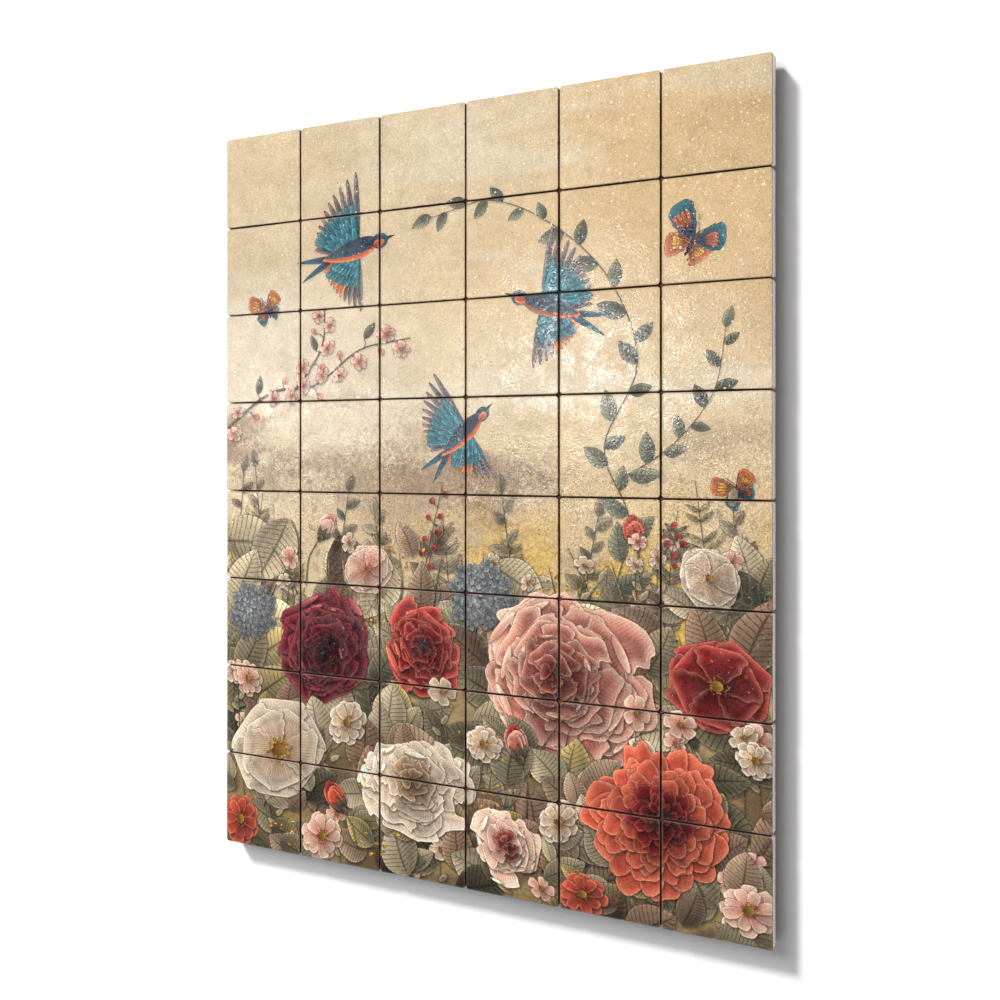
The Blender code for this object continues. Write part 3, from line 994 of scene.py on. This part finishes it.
def garden(rng):
    """Leaves and blooms that fill the lower half, from the back to the front."""
    dark = [LEAF_A, LEAF_B, LEAF_D, LEAF_G]
    mixed = [LEAF_A, LEAF_B, LEAF_C, LEAF_D, LEAF_E, LEAF_F, LEAF_C, LEAF_H]
    yield from thicket(rng, 56, 210, 330, 44, [LEAF_B, LEAF_C, LEAF_F], slim=0.3)
    for spot, angle, length in (
            ((-6, 344), 0.1, 92), ((84, 372), -2.0, 86), ((150, 356), -1.2, 78), ((10, 236), 1.0, 84),
            ((330, 332), -0.5, 66), ((596, 300), 2.7, 80), ((470, 250), 1.9, 74),
            ((214, 330), -1.9, 70)):
        yield leaf(rng, spot, angle, length, rng.choice([LEAF_C, LEAF_G, LEAF_H]), 0.34, tone=1.1)
    yield from glints(rng, 190, 170, 350)
    yield from grass(rng, 60, 200, 280, 80)
    yield from wild_flowers(rng, 12, 300, 372, 12)
    yield from thicket(rng, 120, 10, 250, 54, dark, slim=0.32)
    yield from thicket(rng, 60, 130, 270, 62, mixed, slim=0.32)
    yield from flower_head(rng, (318, 300), 34, 36, 7.5)
    yield from flower_head(rng, (36, 266), 30, 30, 7.0)
    yield from open_flower(rng, (545, 330), 31, 6, CREAM_PETAL, STAMEN, lean=0.6, tip=0.24)
    yield from bloom(
        rng, (250, 240), 50, 34, RED_PETAL, RED_HEART, slim=0.56, tip=0.24, lean=0.4, ruffle=0.06,
        loose=0.1)
    yield from open_flower(rng, (186, 322), 30, 6, BLUSH_PETAL, STAMEN, lean=2.0, tip=0.24)
    yield from bloom(
        rng, (126, 232), 66, 46, WINE_PETAL, WINE_HEART, slim=0.56, tip=0.22, lean=2.4, ruffle=0.06,
        loose=0.1)
    yield from bloom(
        rng, (406, 220), 92, 66, PINK_PETAL, PINK_HEART, slim=0.46, tip=0.26, lean=0.7, ratio=0.92,
        ruffle=0.07, loose=0.13)
    yield from open_flower(
        rng, (552, 232), 48, 6, RED_PETAL, STAMEN, slim=0.6, tip=0.22, lean=1.0, ruffle=0.07)
    yield from grass(rng, 40, 10, 130, 70)
    yield from wild_flowers(rng, 30, 14, 200, 15)
    yield from thicket(rng, 96, -10, 150, 52, mixed, slim=0.34)
    yield from thicket(rng, 40, -10, 110, 40, [LEAF_B, LEAF_C, LEAF_E, LEAF_F], slim=0.3)
    yield from glints(rng, 60, 10, 160)
    yield from bloom(
        rng, (496, 98), 80, 96, CORAL_PETAL, RED_HEART, slim=0.26, tip=0.44, lean=2.7, ratio=0.9,
        loose=0.08)
    yield from open_flower(
        rng, (72, 114), 60, 6, CREAM_PETAL, STAMEN, heart_size=0.28, slim=0.56, tip=0.22, lean=2.2,
        ruffle=0.07)
    yield from bloom(
        rng, (238, 94), 68, 48, CREAM_PETAL, CREAM_HEART, slim=0.46, tip=0.26, lean=1.4, ruffle=0.07,
        loose=0.12)
    yield from bloom(
        rng, (342, 52), 40, 30, BLUSH_PETAL, PINK_HEART, slim=0.5, tip=0.28, lean=0.4, ruffle=0.06,
        loose=0.1)
    yield from rosebud(rng, [(356, 100), (364, 122), (360, 140)], 34, PINK_PETAL, RED_HEART)
    yield from rosebud(rng, [(172, 24), (166, 44), (156, 58)], 34, CORAL_PETAL, RED_HEART)
    for spot, size, ink in (
            ((160, 154), 27, CREAM_PETAL), ((30, 190), 22, BLUSH_PETAL), ((128, 26), 30, BLUSH_PETAL),
            ((400, 84), 24, CREAM_PETAL), ((580, 32), 28, BLUSH_PETAL), ((20, 28), 31, CORAL_PETAL),
            ((320, 150), 22, CREAM_PETAL), ((424, 18), 26, CORAL_PETAL), ((586, 168), 20, CREAM_PETAL)):
        yield from open_flower(
            rng, spot, size, 8, ink, STAMEN, heart_size=0.3, slim=0.28, lean=rng.uniform(0, 3))


def picture():
    """Every painted shape, from the back to the front."""
    rng = random.Random(SEED)
    return [*far_growth(rng), *upper_half(rng), *tall_growth(rng), *garden(rng)]


def clip_to_box(starts, ends, half):
    """The parts of straight pieces that lie within half of the middle, each way."""
    run = ends - starts
    enter = np.zeros(len(starts))
    leave = np.ones(len(starts))
    for axis in range(2):
        for sign in (-1, 1):
            step = sign * run[:, axis]
            room = half[axis] - sign * starts[:, axis]
            with np.errstate(divide="ignore", invalid="ignore"):
                share = room / step
            leave = np.where(step > 0, np.minimum(leave, share), leave)
            enter = np.where(step < 0, np.maximum(enter, share), enter)
            leave = np.where((step == 0) & (room < 0), -1.0, leave)
    kept = leave > enter + 1e-6
    first = starts + run * enter[:, None]
    last = starts + run * leave[:, None]
    return first[kept], last[kept]


def visible_outlines(shapes, centre, half):
    """Straight pieces of the outlines that no later shape covers."""
    starts = np.zeros((0, 2))
    ends = np.zeros((0, 2))
    for shape in shapes:
        if not shape.crisp:
            continue
        if len(starts):
            hidden = shape.contains(starts + centre) & shape.contains(ends + centre)
            starts = starts[~hidden]
            ends = ends[~hidden]
        line = shape.outline() - centre
        first, last = clip_to_box(line, np.roll(line, -1, axis=0), half)
        starts = np.concatenate([starts, first])
        ends = np.concatenate([ends, last])
    return starts, ends


def tile_corners(node):
    """A solid's four sharp corners in mm from its middle, then its middle and its box."""
    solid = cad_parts[node]
    places = np.array([vert.co for vert in solid.data.vertices])
    low, high = places.min(0), places.max(0)
    middle = (low + high) / 2
    flat = (places - middle)[:, [0, 2]] / MM
    corners = []
    for sign_x, sign_z in ((1, 1), (-1, 1), (-1, -1), (1, -1)):
        held = (flat[:, 0] * sign_x > 0) & (flat[:, 1] * sign_z > 0)
        corners.append((sign_x * np.abs(flat[held, 0]).max(), sign_z * np.abs(flat[held, 1]).max()))
    return np.array(corners), middle, low, high


def tile_outline(corners, rng):
    """A closed line round a tile, its corners round and its sides a little uneven."""
    line = []
    for i in range(4):
        corner = corners[i]
        sign = np.sign(corner)
        radius = CORNER_MM + rng.uniform(0, CORNER_SPREAD_MM)
        centre = corner - sign * radius
        for step in range(CORNER_STEPS + 1):
            angle = math.pi / 2 * (i + step / CORNER_STEPS)
            line.append(centre + polar(angle, radius))
        following = corners[(i + 1) % 4]
        goal = following - np.sign(following) * CORNER_MM
        goal = goal + polar(math.pi / 2 * (i + 1), CORNER_MM)
        start = line[-1]
        count = int(np.hypot(*(goal - start)) / SIDE_SPACING_MM)
        for k in range(1, count):
            share = k / count
            drawn_in = EDGE_WOBBLE_MM * rng.uniform(0, 1) * math.sin(math.pi * share)
            line.append(start + (goal - start) * share - polar(math.pi / 2 * (i + 1), drawn_in))
    return np.array(line)


def scaled_in(line, inset, reach):
    """The outline drawn in by inset towards the middle."""
    return line * (1 - inset / reach)


def face_height(points, half, seed):
    """How far the face stands proud of its rim, in mm: a crown and soft waves."""
    share = np.clip(np.abs(points) / half, 0, 1)
    dome = (1 - share[:, 0] ** 4) * (1 - share[:, 1] ** 4)
    waves = cloud(points[:, 0], points[:, 1], 34.0, 34.0, seed, 2) - 1.0
    return CROWN_MM * dome ** 0.7 + 2 * WAVE_MM * waves * dome


def set_attribute(mesh, name, kind, domain, values, field):
    attribute = mesh.attributes.new(name, kind, domain)
    attribute.data.foreach_set(field, np.ascontiguousarray(values, dtype=np.float32).ravel())


def make_tile(row, column, shapes):
    """A painted, glazed tile with a rounded rim, in place of its solid."""
    node = f"tile_r{row + 1}_c{column + 1}"
    rng = random.Random(SEED * 1000 + row * 10 + column)
    corners, middle, low, high = tile_corners(node)
    depth = float(high[1] - low[1]) / MM
    rim = depth - CROWN_MM - FACE_ROOM_MM
    outline = tile_outline(corners, rng)
    reach = float(np.abs(corners).mean())
    edge = scaled_in(outline, RIM_MM, reach)
    half = np.abs(edge).max(0)
    centre = np.array([middle[0] - LOW[0], middle[2] - LOW[2]]) / MM

    near = [
        shape for shape in shapes if (np.abs(shape.middle - centre) < shape.radius + half + 1).all()]
    starts, ends = visible_outlines(near, centre, half - OUTLINE_MARGIN_MM)
    side = int(2 * reach / GRID_MM)
    steps = (np.arange(side) + 0.5) / side * 2 - 1
    grid = np.stack(np.meshgrid(steps, steps), -1).reshape(-1, 2) * (half - GRID_MARGIN_MM)
    jitter = np.random.default_rng(SEED + row * 10 + column)
    grid += jitter.uniform(-GRID_JITTER, GRID_JITTER, grid.shape) * GRID_MM
    count = len(edge)
    points = np.concatenate([edge, grid, starts, ends])
    first = count + len(grid)
    links = [(i, (i + 1) % count) for i in range(count)]
    links += [(first + i, first + len(starts) + i) for i in range(len(starts))]
    found = delaunay_2d_cdt([Vector(point) for point in points], links, [], KEEP_INSIDE, MERGE_MM)
    cells = np.array(found[2], dtype=np.int64)
    order = {source: i for i, sources in enumerate(found[3]) for source in sources}
    brim = np.array([order[i] for i in range(count)])
    used, cells = np.unique(cells, return_inverse=True)
    cells = cells.reshape(-1, 3)
    places = np.array(found[0])[used]
    brim = np.searchsorted(used, brim)

    middles = places[cells].mean(1) + centre
    canvas = Canvas(middles, places[cells] + centre)
    brim_spots = scaled_in(edge, 0.5, reach) + centre
    border = Canvas(brim_spots, brim_spots[:, None])
    for shape in near:
        for surface in (canvas, border):
            held = surface.near(shape)
            if len(held):
                shape.paint(surface, held)
    return build_tile(
        node, places, cells, brim, canvas, border, outline, reach, rim, half, middle, high,
        rng.random())


def build_tile(
        node, places, cells, brim, canvas, border, outline, reach, rim, half, middle, high, variety):
    """The mesh: the painted face, then loops down the rim and sides, then the back."""
    seed = int(variety * 900)
    heights = rim + face_height(places, half, seed)
    heights[brim] = rim
    slope_x, slope_y = (
        (face_height(places + step, half, seed) - face_height(places - step, half, seed))
        / (2 * SLOPE_STEP_MM) for step in np.eye(2) * SLOPE_STEP_MM)
    slope_x[brim] = slope_y[brim] = 0
    normals = [np.stack([-slope_x, -np.ones(len(places)), -slope_y], 1)]
    away = np.minimum(half[0] - np.abs(places[:, 0]), half[1] - np.abs(places[:, 1]))

    # each loop's inset from the outline, its height over the back, and its tilt outwards
    turns = [math.pi / 2 * k / RIM_STEPS for k in range(1, RIM_STEPS + 1)]
    loops = [
        (RIM_MM * (1 - math.sin(turn)), rim - RIM_MM * (1 - math.cos(turn)), turn) for turn in turns]
    sides = (
        (0.0, rim * SIDE_WAIST[0]), (SIDE_DIP_MM, rim * SIDE_WAIST[1]), (0.0, REAR_CHAMFER_MM[1]),
        (REAR_CHAMFER_MM[0], 0.0))
    loops += [(inset, height, math.pi / 2) for inset, height in sides]
    outward = outline - np.roll(outline, 1, axis=0) + np.roll(outline, -1, axis=0) - outline
    outward = np.stack([outward[:, 1], -outward[:, 0]], 1)
    outward /= np.hypot(outward[:, 0], outward[:, 1])[:, None]
    count = len(brim)
    following = (np.arange(count) + 1) % count
    flat, tall, near_rim = [places], [heights], [np.clip(1 - away / RIM_ZONE_MM, 0, 1)]
    spots = [places / (reach - RIM_MM) * FACE_SPOT]
    quads, quad_rows = [], []
    previous = brim
    total = len(places)
    for number, (inset, height, turn) in enumerate(loops):
        flat.append(scaled_in(outline, inset, reach))
        tall.append(np.full(count, height))
        near_rim.append(np.ones(count))
        share = (number + 1) / len(loops)
        spots.append(outline / reach * (FACE_SPOT + (SIDE_SPOT - FACE_SPOT) * share))
        normals.append(np.stack(
            [outward[:, 0] * math.sin(turn), np.full(count, -math.cos(turn)),
            outward[:, 1] * math.sin(turn)], 1))
        ring = np.arange(total, total + count)
        quads.append(np.stack([previous, ring, ring[following], previous[following]], 1))
        quad_rows.append(np.stack([np.arange(count)] * 2 + [following] * 2, 1))
        previous = ring
        total += count
    flat, tall, near_rim = (np.concatenate(part) for part in (flat, tall, near_rim))
    spots, normals, quads = (np.concatenate(part) for part in (spots, normals, quads))
    quad_rows = np.concatenate(quad_rows).ravel()

    verts = np.stack(
        [middle[0] + flat[:, 0] * MM, float(high[1]) - tall * MM, middle[2] + flat[:, 1] * MM], 1)
    rear = previous[::-1]
    mesh = bpy.data.meshes.new(node + "_glazed")
    mesh.from_pydata(verts.tolist(), [], cells.tolist() + quads.tolist() + [rear.tolist()])
    mesh.polygons.foreach_set("use_smooth", np.ones(len(mesh.polygons), dtype=bool))
    corner_verts = np.concatenate([cells.ravel(), quads.ravel()])
    normals /= np.linalg.norm(normals, axis=1)[:, None]
    corner_normals = np.concatenate([normals[corner_verts], np.tile((0.0, 1.0, 0.0), (count, 1))])
    mesh.normals_split_custom_set(corner_normals.tolist())

    paint = np.concatenate([canvas.colour, border.colour[quad_rows], np.tile(rgb(CLAY), (count, 1))])
    paint = np.concatenate([to_linear(np.clip(paint, 0, 1)), np.ones((len(paint), 1))], 1)
    lines = unlined(len(paint))
    lines[:len(canvas.lines)] = canvas.lines
    set_attribute(mesh, "paint", "FLOAT_COLOR", "CORNER", paint, "color")
    set_attribute(mesh, "lines", "FLOAT_VECTOR", "CORNER", lines[:, :3], "vector")
    set_attribute(mesh, "margin", "FLOAT", "CORNER", lines[:, 3], "value")
    relief = np.stack([near_rim, tall, np.full(len(tall), variety)], 1)
    set_attribute(mesh, "relief", "FLOAT_VECTOR", "POINT", relief, "vector")
    bake_spots = np.concatenate(
        [MAP_MIDDLE + spots[corner_verts], REAR_SPOT + flat[rear] / reach * REAR_REACH])
    mesh.uv_layers.new(name="OFBake").data.foreach_set("uv", bake_spots.ravel())
    mesh.update()
    return add_object(mesh, node + "_glazed")


def add_object(data, name):
    thing = bpy.data.objects.new(name, data)
    bpy.context.collection.objects.link(thing)
    return thing


class Shader:
    """A material's node tree, built a node at a time."""

    def __init__(self, name):
        self.material = bpy.data.materials.new(name)
        self.material.use_nodes = True
        self.tree = self.material.node_tree
        self.tree.nodes.clear()
        self.surface = self.node("ShaderNodeBsdfPrincipled")
        output = self.node("ShaderNodeOutputMaterial")
        self.tree.links.new(self.surface.outputs[0], output.inputs["Surface"])

    def node(self, kind, inputs=None, **settings):
        node = self.tree.nodes.new(kind)
        for name, value in settings.items():
            setattr(node, name, value)
        for name, value in (inputs or {}).items():
            self.feed(node.inputs[name], value)
        return node

    def feed(self, socket, value):
        if isinstance(value, bpy.types.NodeSocket):
            self.tree.links.new(value, socket)
        else:
            socket.default_value = value

    def calc(self, operation, *values):
        return self.node("ShaderNodeMath", dict(enumerate(values)), operation=operation).outputs[0]

    times = partialmethod(calc, "MULTIPLY")
    plus = partialmethod(calc, "ADD")
    less = partialmethod(calc, "SUBTRACT")
    most = partialmethod(calc, "MAXIMUM")
    size = partialmethod(calc, "ABSOLUTE")

    def ramp(self, value, low, high, out_low=0.0, out_high=1.0):
        """A smooth step of a value between two limits."""
        return self.node("ShaderNodeMapRange", {"Value": value, "From Min": low, "From Max": high,
            "To Min": out_low, "To Max": out_high}, interpolation_type="SMOOTHSTEP").outputs["Result"]

    def attribute(self, name):
        return self.node("ShaderNodeAttribute", attribute_name=name)

    def parts(self, vector):
        return self.node("ShaderNodeSeparateXYZ", {0: vector}).outputs

    def place(self, stretch=(1, 1, 1), shift=None):
        """Where the surface is, in mm, stretched along each axis."""
        spot = self.node("ShaderNodeTexCoord").outputs["Object"]
        scaled = self.node(
            "ShaderNodeVectorMath", {0: spot, 1: [s / MM for s in stretch]},
            operation="MULTIPLY").outputs[0]
        if shift is None:
            return scaled
        return self.node("ShaderNodeVectorMath", {0: scaled, 1: shift}, operation="ADD").outputs[0]

    def noise(self, size, detail=2.0, rough=0.5, where=None, twist=0.0):
        """Soft noise about 0.5, its patches of the given size in mm."""
        return self.node(
            "ShaderNodeTexNoise", {"Vector": where or self.place(), "Scale": 1.0 / size,
            "Detail": detail, "Roughness": rough, "Distortion": twist}).outputs["Fac"]

    def dots(self, spacing, size, density, shift=0.0):
        """Round dots about spacing mm apart. density is the share of them that show."""
        where = self.place(shift=(shift, shift, shift))
        cell = self.node("ShaderNodeTexVoronoi", {"Vector": where, "Scale": 1.0 / spacing})
        chance, width, _ = self.parts(cell.outputs["Color"])
        reach = self.times(self.ramp(width, 0.0, 1.0, 0.45, 1.0), size)
        inside = self.calc("LESS_THAN", cell.outputs["Distance"], reach)
        return self.times(inside, self.calc("LESS_THAN", chance, density))

    def blend_values(self, share, first, second):
        return self.node("ShaderNodeMix", {0: share, 2: first, 3: second}, data_type="FLOAT").outputs[0]

    def blend(self, share, first, second, blend_type="MIX"):
        """Mixes two colours, each a socket or an sRGB value from 0 to 255."""
        node = self.node("ShaderNodeMix", {0: share}, data_type="RGBA", blend_type=blend_type)
        for place, colour in ((6, first), (7, second)):
            if isinstance(colour, tuple):
                colour = (*to_linear(rgb(colour)), 1.0)
            self.feed(node.inputs[place], colour)
        return node.outputs[2]

    def scaled(self, colour, factor):
        """A colour times a number."""
        return self.node(
            "ShaderNodeVectorMath", {0: colour, "Scale": factor}, operation="SCALE").outputs[0]

    def bump(self, height, strength, distance, under=None):
        inputs = {"Height": height, "Strength": strength, "Distance": distance * MM}
        if under is not None:
            inputs["Normal"] = under
        return self.node("ShaderNodeBump", inputs).outputs[0]

    def finish(self, **inputs):
        for name, value in inputs.items():
            if isinstance(value, tuple):
                value = (*to_linear(rgb(value)), 1.0)
            self.feed(self.surface.inputs[name.replace("_", " ")], value)
        return self.material


def glaze():
    """Painted glaze on the face, thin pale glaze and bare clay on the sides."""
    s = Shader("painted_glaze")
    paint = s.attribute("paint").outputs["Color"]
    along, across, strength = s.parts(s.attribute("lines").outputs["Vector"])
    near_rim, depth, variety = s.parts(s.attribute("relief").outputs["Vector"])
    x, _, z = s.parts(s.place())
    grain = s.noise(1.4, 3.0, 0.75)
    patches = s.noise(38.0, 3.0, 0.6)
    weave = s.noise(2.4, 2.0, 0.6, s.place(shift=(31.0, 0.0, 17.0)))

    # fine drawn lines along petals and veins of leaves
    off_middle = s.size(across)
    course = s.less(along, s.times(off_middle, 1.6))
    course = s.plus(course, s.times(s.noise(6.0, 2.0), 0.3))
    gap = s.size(s.less(s.calc("FRACT", course), 0.5))
    line = s.times(s.ramp(gap, 0.05, 0.18, 1.0, 0.0), s.ramp(s.noise(3.1), 0.25, 0.5))
    rib = s.ramp(off_middle, 0.03, 0.09, 1.0, 0.0)
    drawn = s.times(s.most(line, rib), strength)
    colour = s.scaled(paint, s.less(1.0, s.times(drawn, 0.62)))

    # each form's fine dark outline, and the pale rim inside it
    edge = s.plus(s.attribute("margin").outputs["Fac"], s.times(s.less(weave, 0.5), 0.8))
    rim = s.times(s.ramp(edge, 0.5, 0.8), s.ramp(edge, 1.2, 2.2, 1.0, 0.0))
    colour = s.scaled(colour, s.plus(1.0, s.times(rim, 0.42)))
    outline = s.ramp(edge, 0.12, 0.55, 0.72, 0.0)
    colour = s.blend(outline, colour, s.scaled(colour, 0.3))

    # washes and the grain of an old print, coarser across the haze
    colour = s.scaled(colour, s.ramp(s.noise(16.0, 4.0, 0.6), 0.2, 0.8, 0.94, 1.06))
    colour = s.scaled(colour, s.ramp(grain, 0.25, 0.75, 0.82, 1.18))
    hazy = s.ramp(s.size(s.plus(z, 20.0)), 30.0, 120.0, 1.0, 0.25)
    hazy = s.times(hazy, s.ramp(patches, 0.35, 0.6, 0.35, 1.0))
    speckle = s.ramp(s.noise(1.6, 2.0, 0.6, s.place(shift=(7.0, 0.0, 3.0))), 0.3, 0.7, -0.4, 0.4)
    colour = s.scaled(colour, s.plus(1.0, s.times(speckle, hazy)))
    tint = s.ramp(s.noise(9.0, 4.0, 0.65), 0.52, 0.74)
    colour = s.blend(s.times(tint, 0.12), colour, AGE_BROWN, "MULTIPLY")

    # worn white dots, more of them towards the upper right
    upper_right = s.ramp(s.plus(x, s.times(z, 0.9)), 80.0, 600.0)
    upper = s.ramp(z, -120.0, 120.0, 0.25, 1.0)
    density = s.plus(
        s.times(upper_right, 0.85), s.times(s.ramp(patches, 0.42, 0.62, 0.02, 0.22), upper))
    dots = s.most(s.dots(3.4, 0.19, density), s.dots(8.0, 0.16, density, 41.0))
    dots = s.most(dots, s.dots(17.0, 0.12, density, 77.0))
    colour = s.blend(s.times(dots, s.times(upper, 0.75)), colour, OFF_WHITE)
    # whitish patches here and there, blended a little over the paint
    pale_patches = s.ramp(s.noise(5.0, 4.0, 0.75), 0.60, 0.70)
    pale_patches = s.times(pale_patches, s.ramp(patches, 0.46, 0.66))
    colour = s.blend(s.times(pale_patches, 0.3), colour, OFF_WHITE)
    stain = s.dots(9.0, 0.13, 0.5, 93.0)
    colour = s.blend(s.times(stain, 0.5), colour, AGE_BROWN)

    # the rim, darkened as painted shade and given a faint painted highlight, and the sides: pale glaze
    # over clay outside, grout-stained between the tiles
    # painted shade: the face darkened by up to a fifth towards its rim, to dull the light that the
    # rounded rim catches
    colour = s.scaled(colour, s.ramp(near_rim, 0.7, 1.0, 1.0, 0.8))
    # painted highlight: a faint, ragged pale band just inside the rim
    rim_highlight = s.plus(near_rim, s.times(s.less(grain, 0.5), 0.7))
    colour = s.blend(s.times(s.ramp(rim_highlight, 0.75, 1.1), 0.08), colour, RIM_HIGHLIGHT_PALE)
    unevenness = s.times(s.less(s.noise(2.6, 3.0), 0.5), 1.8)
    front = s.plus(depth, unevenness)
    beyond = s.most(s.less(s.size(x), WIDTH_MM / 2), s.less(s.size(z), HEIGHT_MM / 2))
    outer = s.ramp(beyond, *OUTER_SIDE)
    clay = s.ramp(front, *CLAY_DEPTH, 1.0, 0.0)
    side = s.blend(clay, GLAZE_SIDE, s.blend(s.noise(1.1, 4.0, 0.7), CLAY_DARK, CLAY))
    side = s.blend(outer, s.blend(grain, GROUT_DARK, GROUT), side)
    bare = s.ramp(
        front, s.blend_values(outer, GLAZE_DEPTH_INNER, GLAZE_DEPTH_OUTER), FACE_DEPTH, 1.0, 0.0)
    colour = s.blend(bare, colour, side)
    colour = s.scaled(colour, s.plus(0.83, s.times(variety, 0.06)))

    # uneven gloss, and the ripple of the glaze
    rough = s.ramp(s.noise(21.0, 4.0, 0.6), 0.35, 0.62, 0.11, 0.33)
    rough = s.plus(rough, s.ramp(weave, 0.3, 0.7, -0.04, 0.15))
    rough = s.plus(rough, s.times(dots, 0.2))
    rough = s.most(rough, s.ramp(near_rim, 0.5, 0.95, 0.0, 0.6))
    rough = s.most(rough, s.times(clay, 0.85))
    peel = s.bump(s.noise(5.5, 1.5, 0.45), 0.7, 0.2)
    fine = s.bump(s.noise(2.2, 1.5, 0.5), 1.0, 0.2, peel)
    pits = s.bump(dots, 0.4, -0.03, fine)
    return s.finish(Base_Color=colour, Roughness=rough, Normal=pits, IOR=1.42)


def sanded_grout():
    """Dark brown, sanded joint filler."""
    s = Shader("sanded_grout")
    sand = s.noise(0.6, 3.0, 0.7)
    patch = s.noise(14.0, 3.0, 0.6)
    colour = s.blend(s.ramp(sand, 0.35, 0.7), GROUT_DARK, GROUT)
    colour = s.scaled(colour, s.ramp(patch, 0.3, 0.7, 0.75, 1.25))
    pale = s.ramp(s.noise(0.9, 2.0, 0.6, s.place(shift=(9.0, 5.0, 3.0))), 0.70, 0.78)
    colour = s.blend(s.times(pale, 0.45), colour, GROUT_PALE)
    rough = s.ramp(sand, 0.3, 0.7, 0.95, 0.75)
    return s.finish(Base_Color=colour, Roughness=rough, Normal=s.bump(sand, 0.8, 0.25))


def stained_board():
    """Hard fibreboard: short pressed fibres, a little darker in patches."""
    s = Shader("stained_board")
    fibres = s.noise(1.2, 4.0, 0.7, s.place((1.0, 1.0, 0.22)), 0.4)
    cross = s.noise(1.4, 3.0, 0.7, s.place((0.22, 1.0, 1.0)), 0.4)
    mixed = s.times(s.plus(fibres, cross), 0.5)
    patch = s.noise(60.0, 4.0, 0.6)
    colour = s.blend(s.ramp(mixed, 0.35, 0.65), BOARD_DARK, BOARD_BROWN)
    colour = s.scaled(colour, s.ramp(patch, 0.25, 0.75, 0.8, 1.2))
    return s.finish(
        Base_Color=colour, Roughness=s.ramp(mixed, 0.3, 0.7, 0.6, 0.85),
        Normal=s.bump(mixed, 0.6, 0.12))


def dress(thing, material):
    thing.data.materials.clear()
    thing.data.materials.append(material)


def build_panel():
    shapes = picture()
    glazed = glaze()
    for row in range(ROWS):
        for column in range(COLUMNS):
            tile = make_tile(row, column, shapes)
            dress(tile, glazed)
            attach(tile, "root")
            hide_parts(f"tile_r{row + 1}_c{column + 1}")
    dress(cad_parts["grout"], sanded_grout())
    dress(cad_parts["backing_board"], stained_board())


def plain(name, colour, roughness):
    s = Shader(name)
    return s.finish(Base_Color=colour, Roughness=roughness)


def flat_piece(name, corners, faces):
    mesh = bpy.data.meshes.new(name)
    mesh.from_pydata(corners, [], faces)
    return add_object(mesh, name)


def one_sided(material):
    """Lets the camera see through the piece from behind."""
    tree = material.node_tree
    output = next(node for node in tree.nodes if node.type == "OUTPUT_MATERIAL")
    surface = output.inputs["Surface"].links[0].from_socket
    rear = tree.nodes.new("ShaderNodeNewGeometry").outputs["Backfacing"]
    clear = tree.nodes.new("ShaderNodeBsdfTransparent").outputs[0]
    choice = tree.nodes.new("ShaderNodeMixShader")
    tree.links.new(rear, choice.inputs[0])
    tree.links.new(surface, choice.inputs[1])
    tree.links.new(clear, choice.inputs[2])
    tree.links.new(choice.outputs[0], output.inputs["Surface"])


def rectangle(low, high):
    """The corners of a flat rectangle, each as two numbers."""
    return [(low[0], low[1]), (high[0], low[1]), (high[0], high[1]), (low[0], high[1])]


def build_stage():
    """A white wall behind the panel, open behind the board, and a pale floor below it."""
    low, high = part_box("backing_board")
    outer = rectangle((-STAGE_REACH, FLOOR_Z), (STAGE_REACH, STAGE_REACH))
    inner = rectangle((low.x, low.z), (high.x, high.z))
    wall = flat_piece(
        "wall", [(x, WALL_Y, z) for x, z in outer + inner],
        [(i, (i + 1) % 4, 4 + (i + 1) % 4, 4 + i) for i in range(4)])
    dress(wall, plain("wall_white", WALL_WHITE, 0.9))
    one_sided(wall.data.materials[0])
    ground_plan = rectangle((-STAGE_REACH, -STAGE_REACH), (STAGE_REACH, STAGE_REACH))
    floor = flat_piece("floor", [(x, y, FLOOR_Z) for x, y in ground_plan], [(0, 1, 2, 3)])
    dress(floor, plain("floor_pale", FLOOR_PALE, 0.8))
    floor.visible_diffuse = floor.visible_glossy = False


def aim(thing, direction):
    thing.rotation_euler = Vector(direction).to_track_quat("-Z", "Y").to_euler()


def softbox(name, place, target, size, watts, left_out):
    light = bpy.data.lights.new(name, "AREA")
    light.shape = "RECTANGLE"
    light.size, light.size_y = size
    light.energy = watts
    lamp = add_object(light, name)
    lamp.location = place
    aim(lamp, Vector(target) - Vector(place))
    lamp.visible_camera = False
    if left_out:
        setattr(lamp, left_out, False)


def build_lights():
    sun = bpy.data.lights.new("key", "SUN")
    sun.energy = KEY_STRENGTH
    sun.angle = KEY_ANGLE
    aim(add_object(sun, "key"), KEY_DIRECTION)
    for name, settings in SOFTBOXES.items():
        softbox(name, *settings)
    world = bpy.data.worlds.new("studio")
    world.use_nodes = True
    tree = world.node_tree
    seen = tree.nodes.new("ShaderNodeLightPath").outputs["Is Camera Ray"]
    strength = tree.nodes.new("ShaderNodeMapRange")
    strength.inputs["To Min"].default_value = WORLD_STRENGTH
    strength.inputs["To Max"].default_value = BACKDROP_STRENGTH
    tree.links.new(seen, strength.inputs["Value"])
    backdrop = tree.nodes["Background"]
    backdrop.inputs["Color"].default_value = (1.0, 1.0, 1.0, 1.0)
    tree.links.new(strength.outputs["Result"], backdrop.inputs["Strength"])
    bpy.context.scene.world = world


def build_camera():
    lens = bpy.data.cameras.new("camera")
    lens.sensor_width = SENSOR_MM
    lens.lens = FOCAL_PIXELS / PHOTO_SIDE * SENSOR_MM
    lens.shift_x = 0.5 - CENTRE_PIXEL[0] / PHOTO_SIDE
    lens.shift_y = CENTRE_PIXEL[1] / PHOTO_SIDE - 0.5
    camera = add_object(lens, "camera")
    x, y, z = CAMERA_PLACE
    camera.location = (x, y + FACE_Y, z)
    camera.rotation_euler = (math.pi / 2, 0, CAMERA_YAW)
    bpy.context.scene.camera = camera
    bpy.context.scene.view_settings.view_transform = "Standard"


build_panel()
build_stage()
build_lights()
build_camera()

bpy.context.view_layer.update()
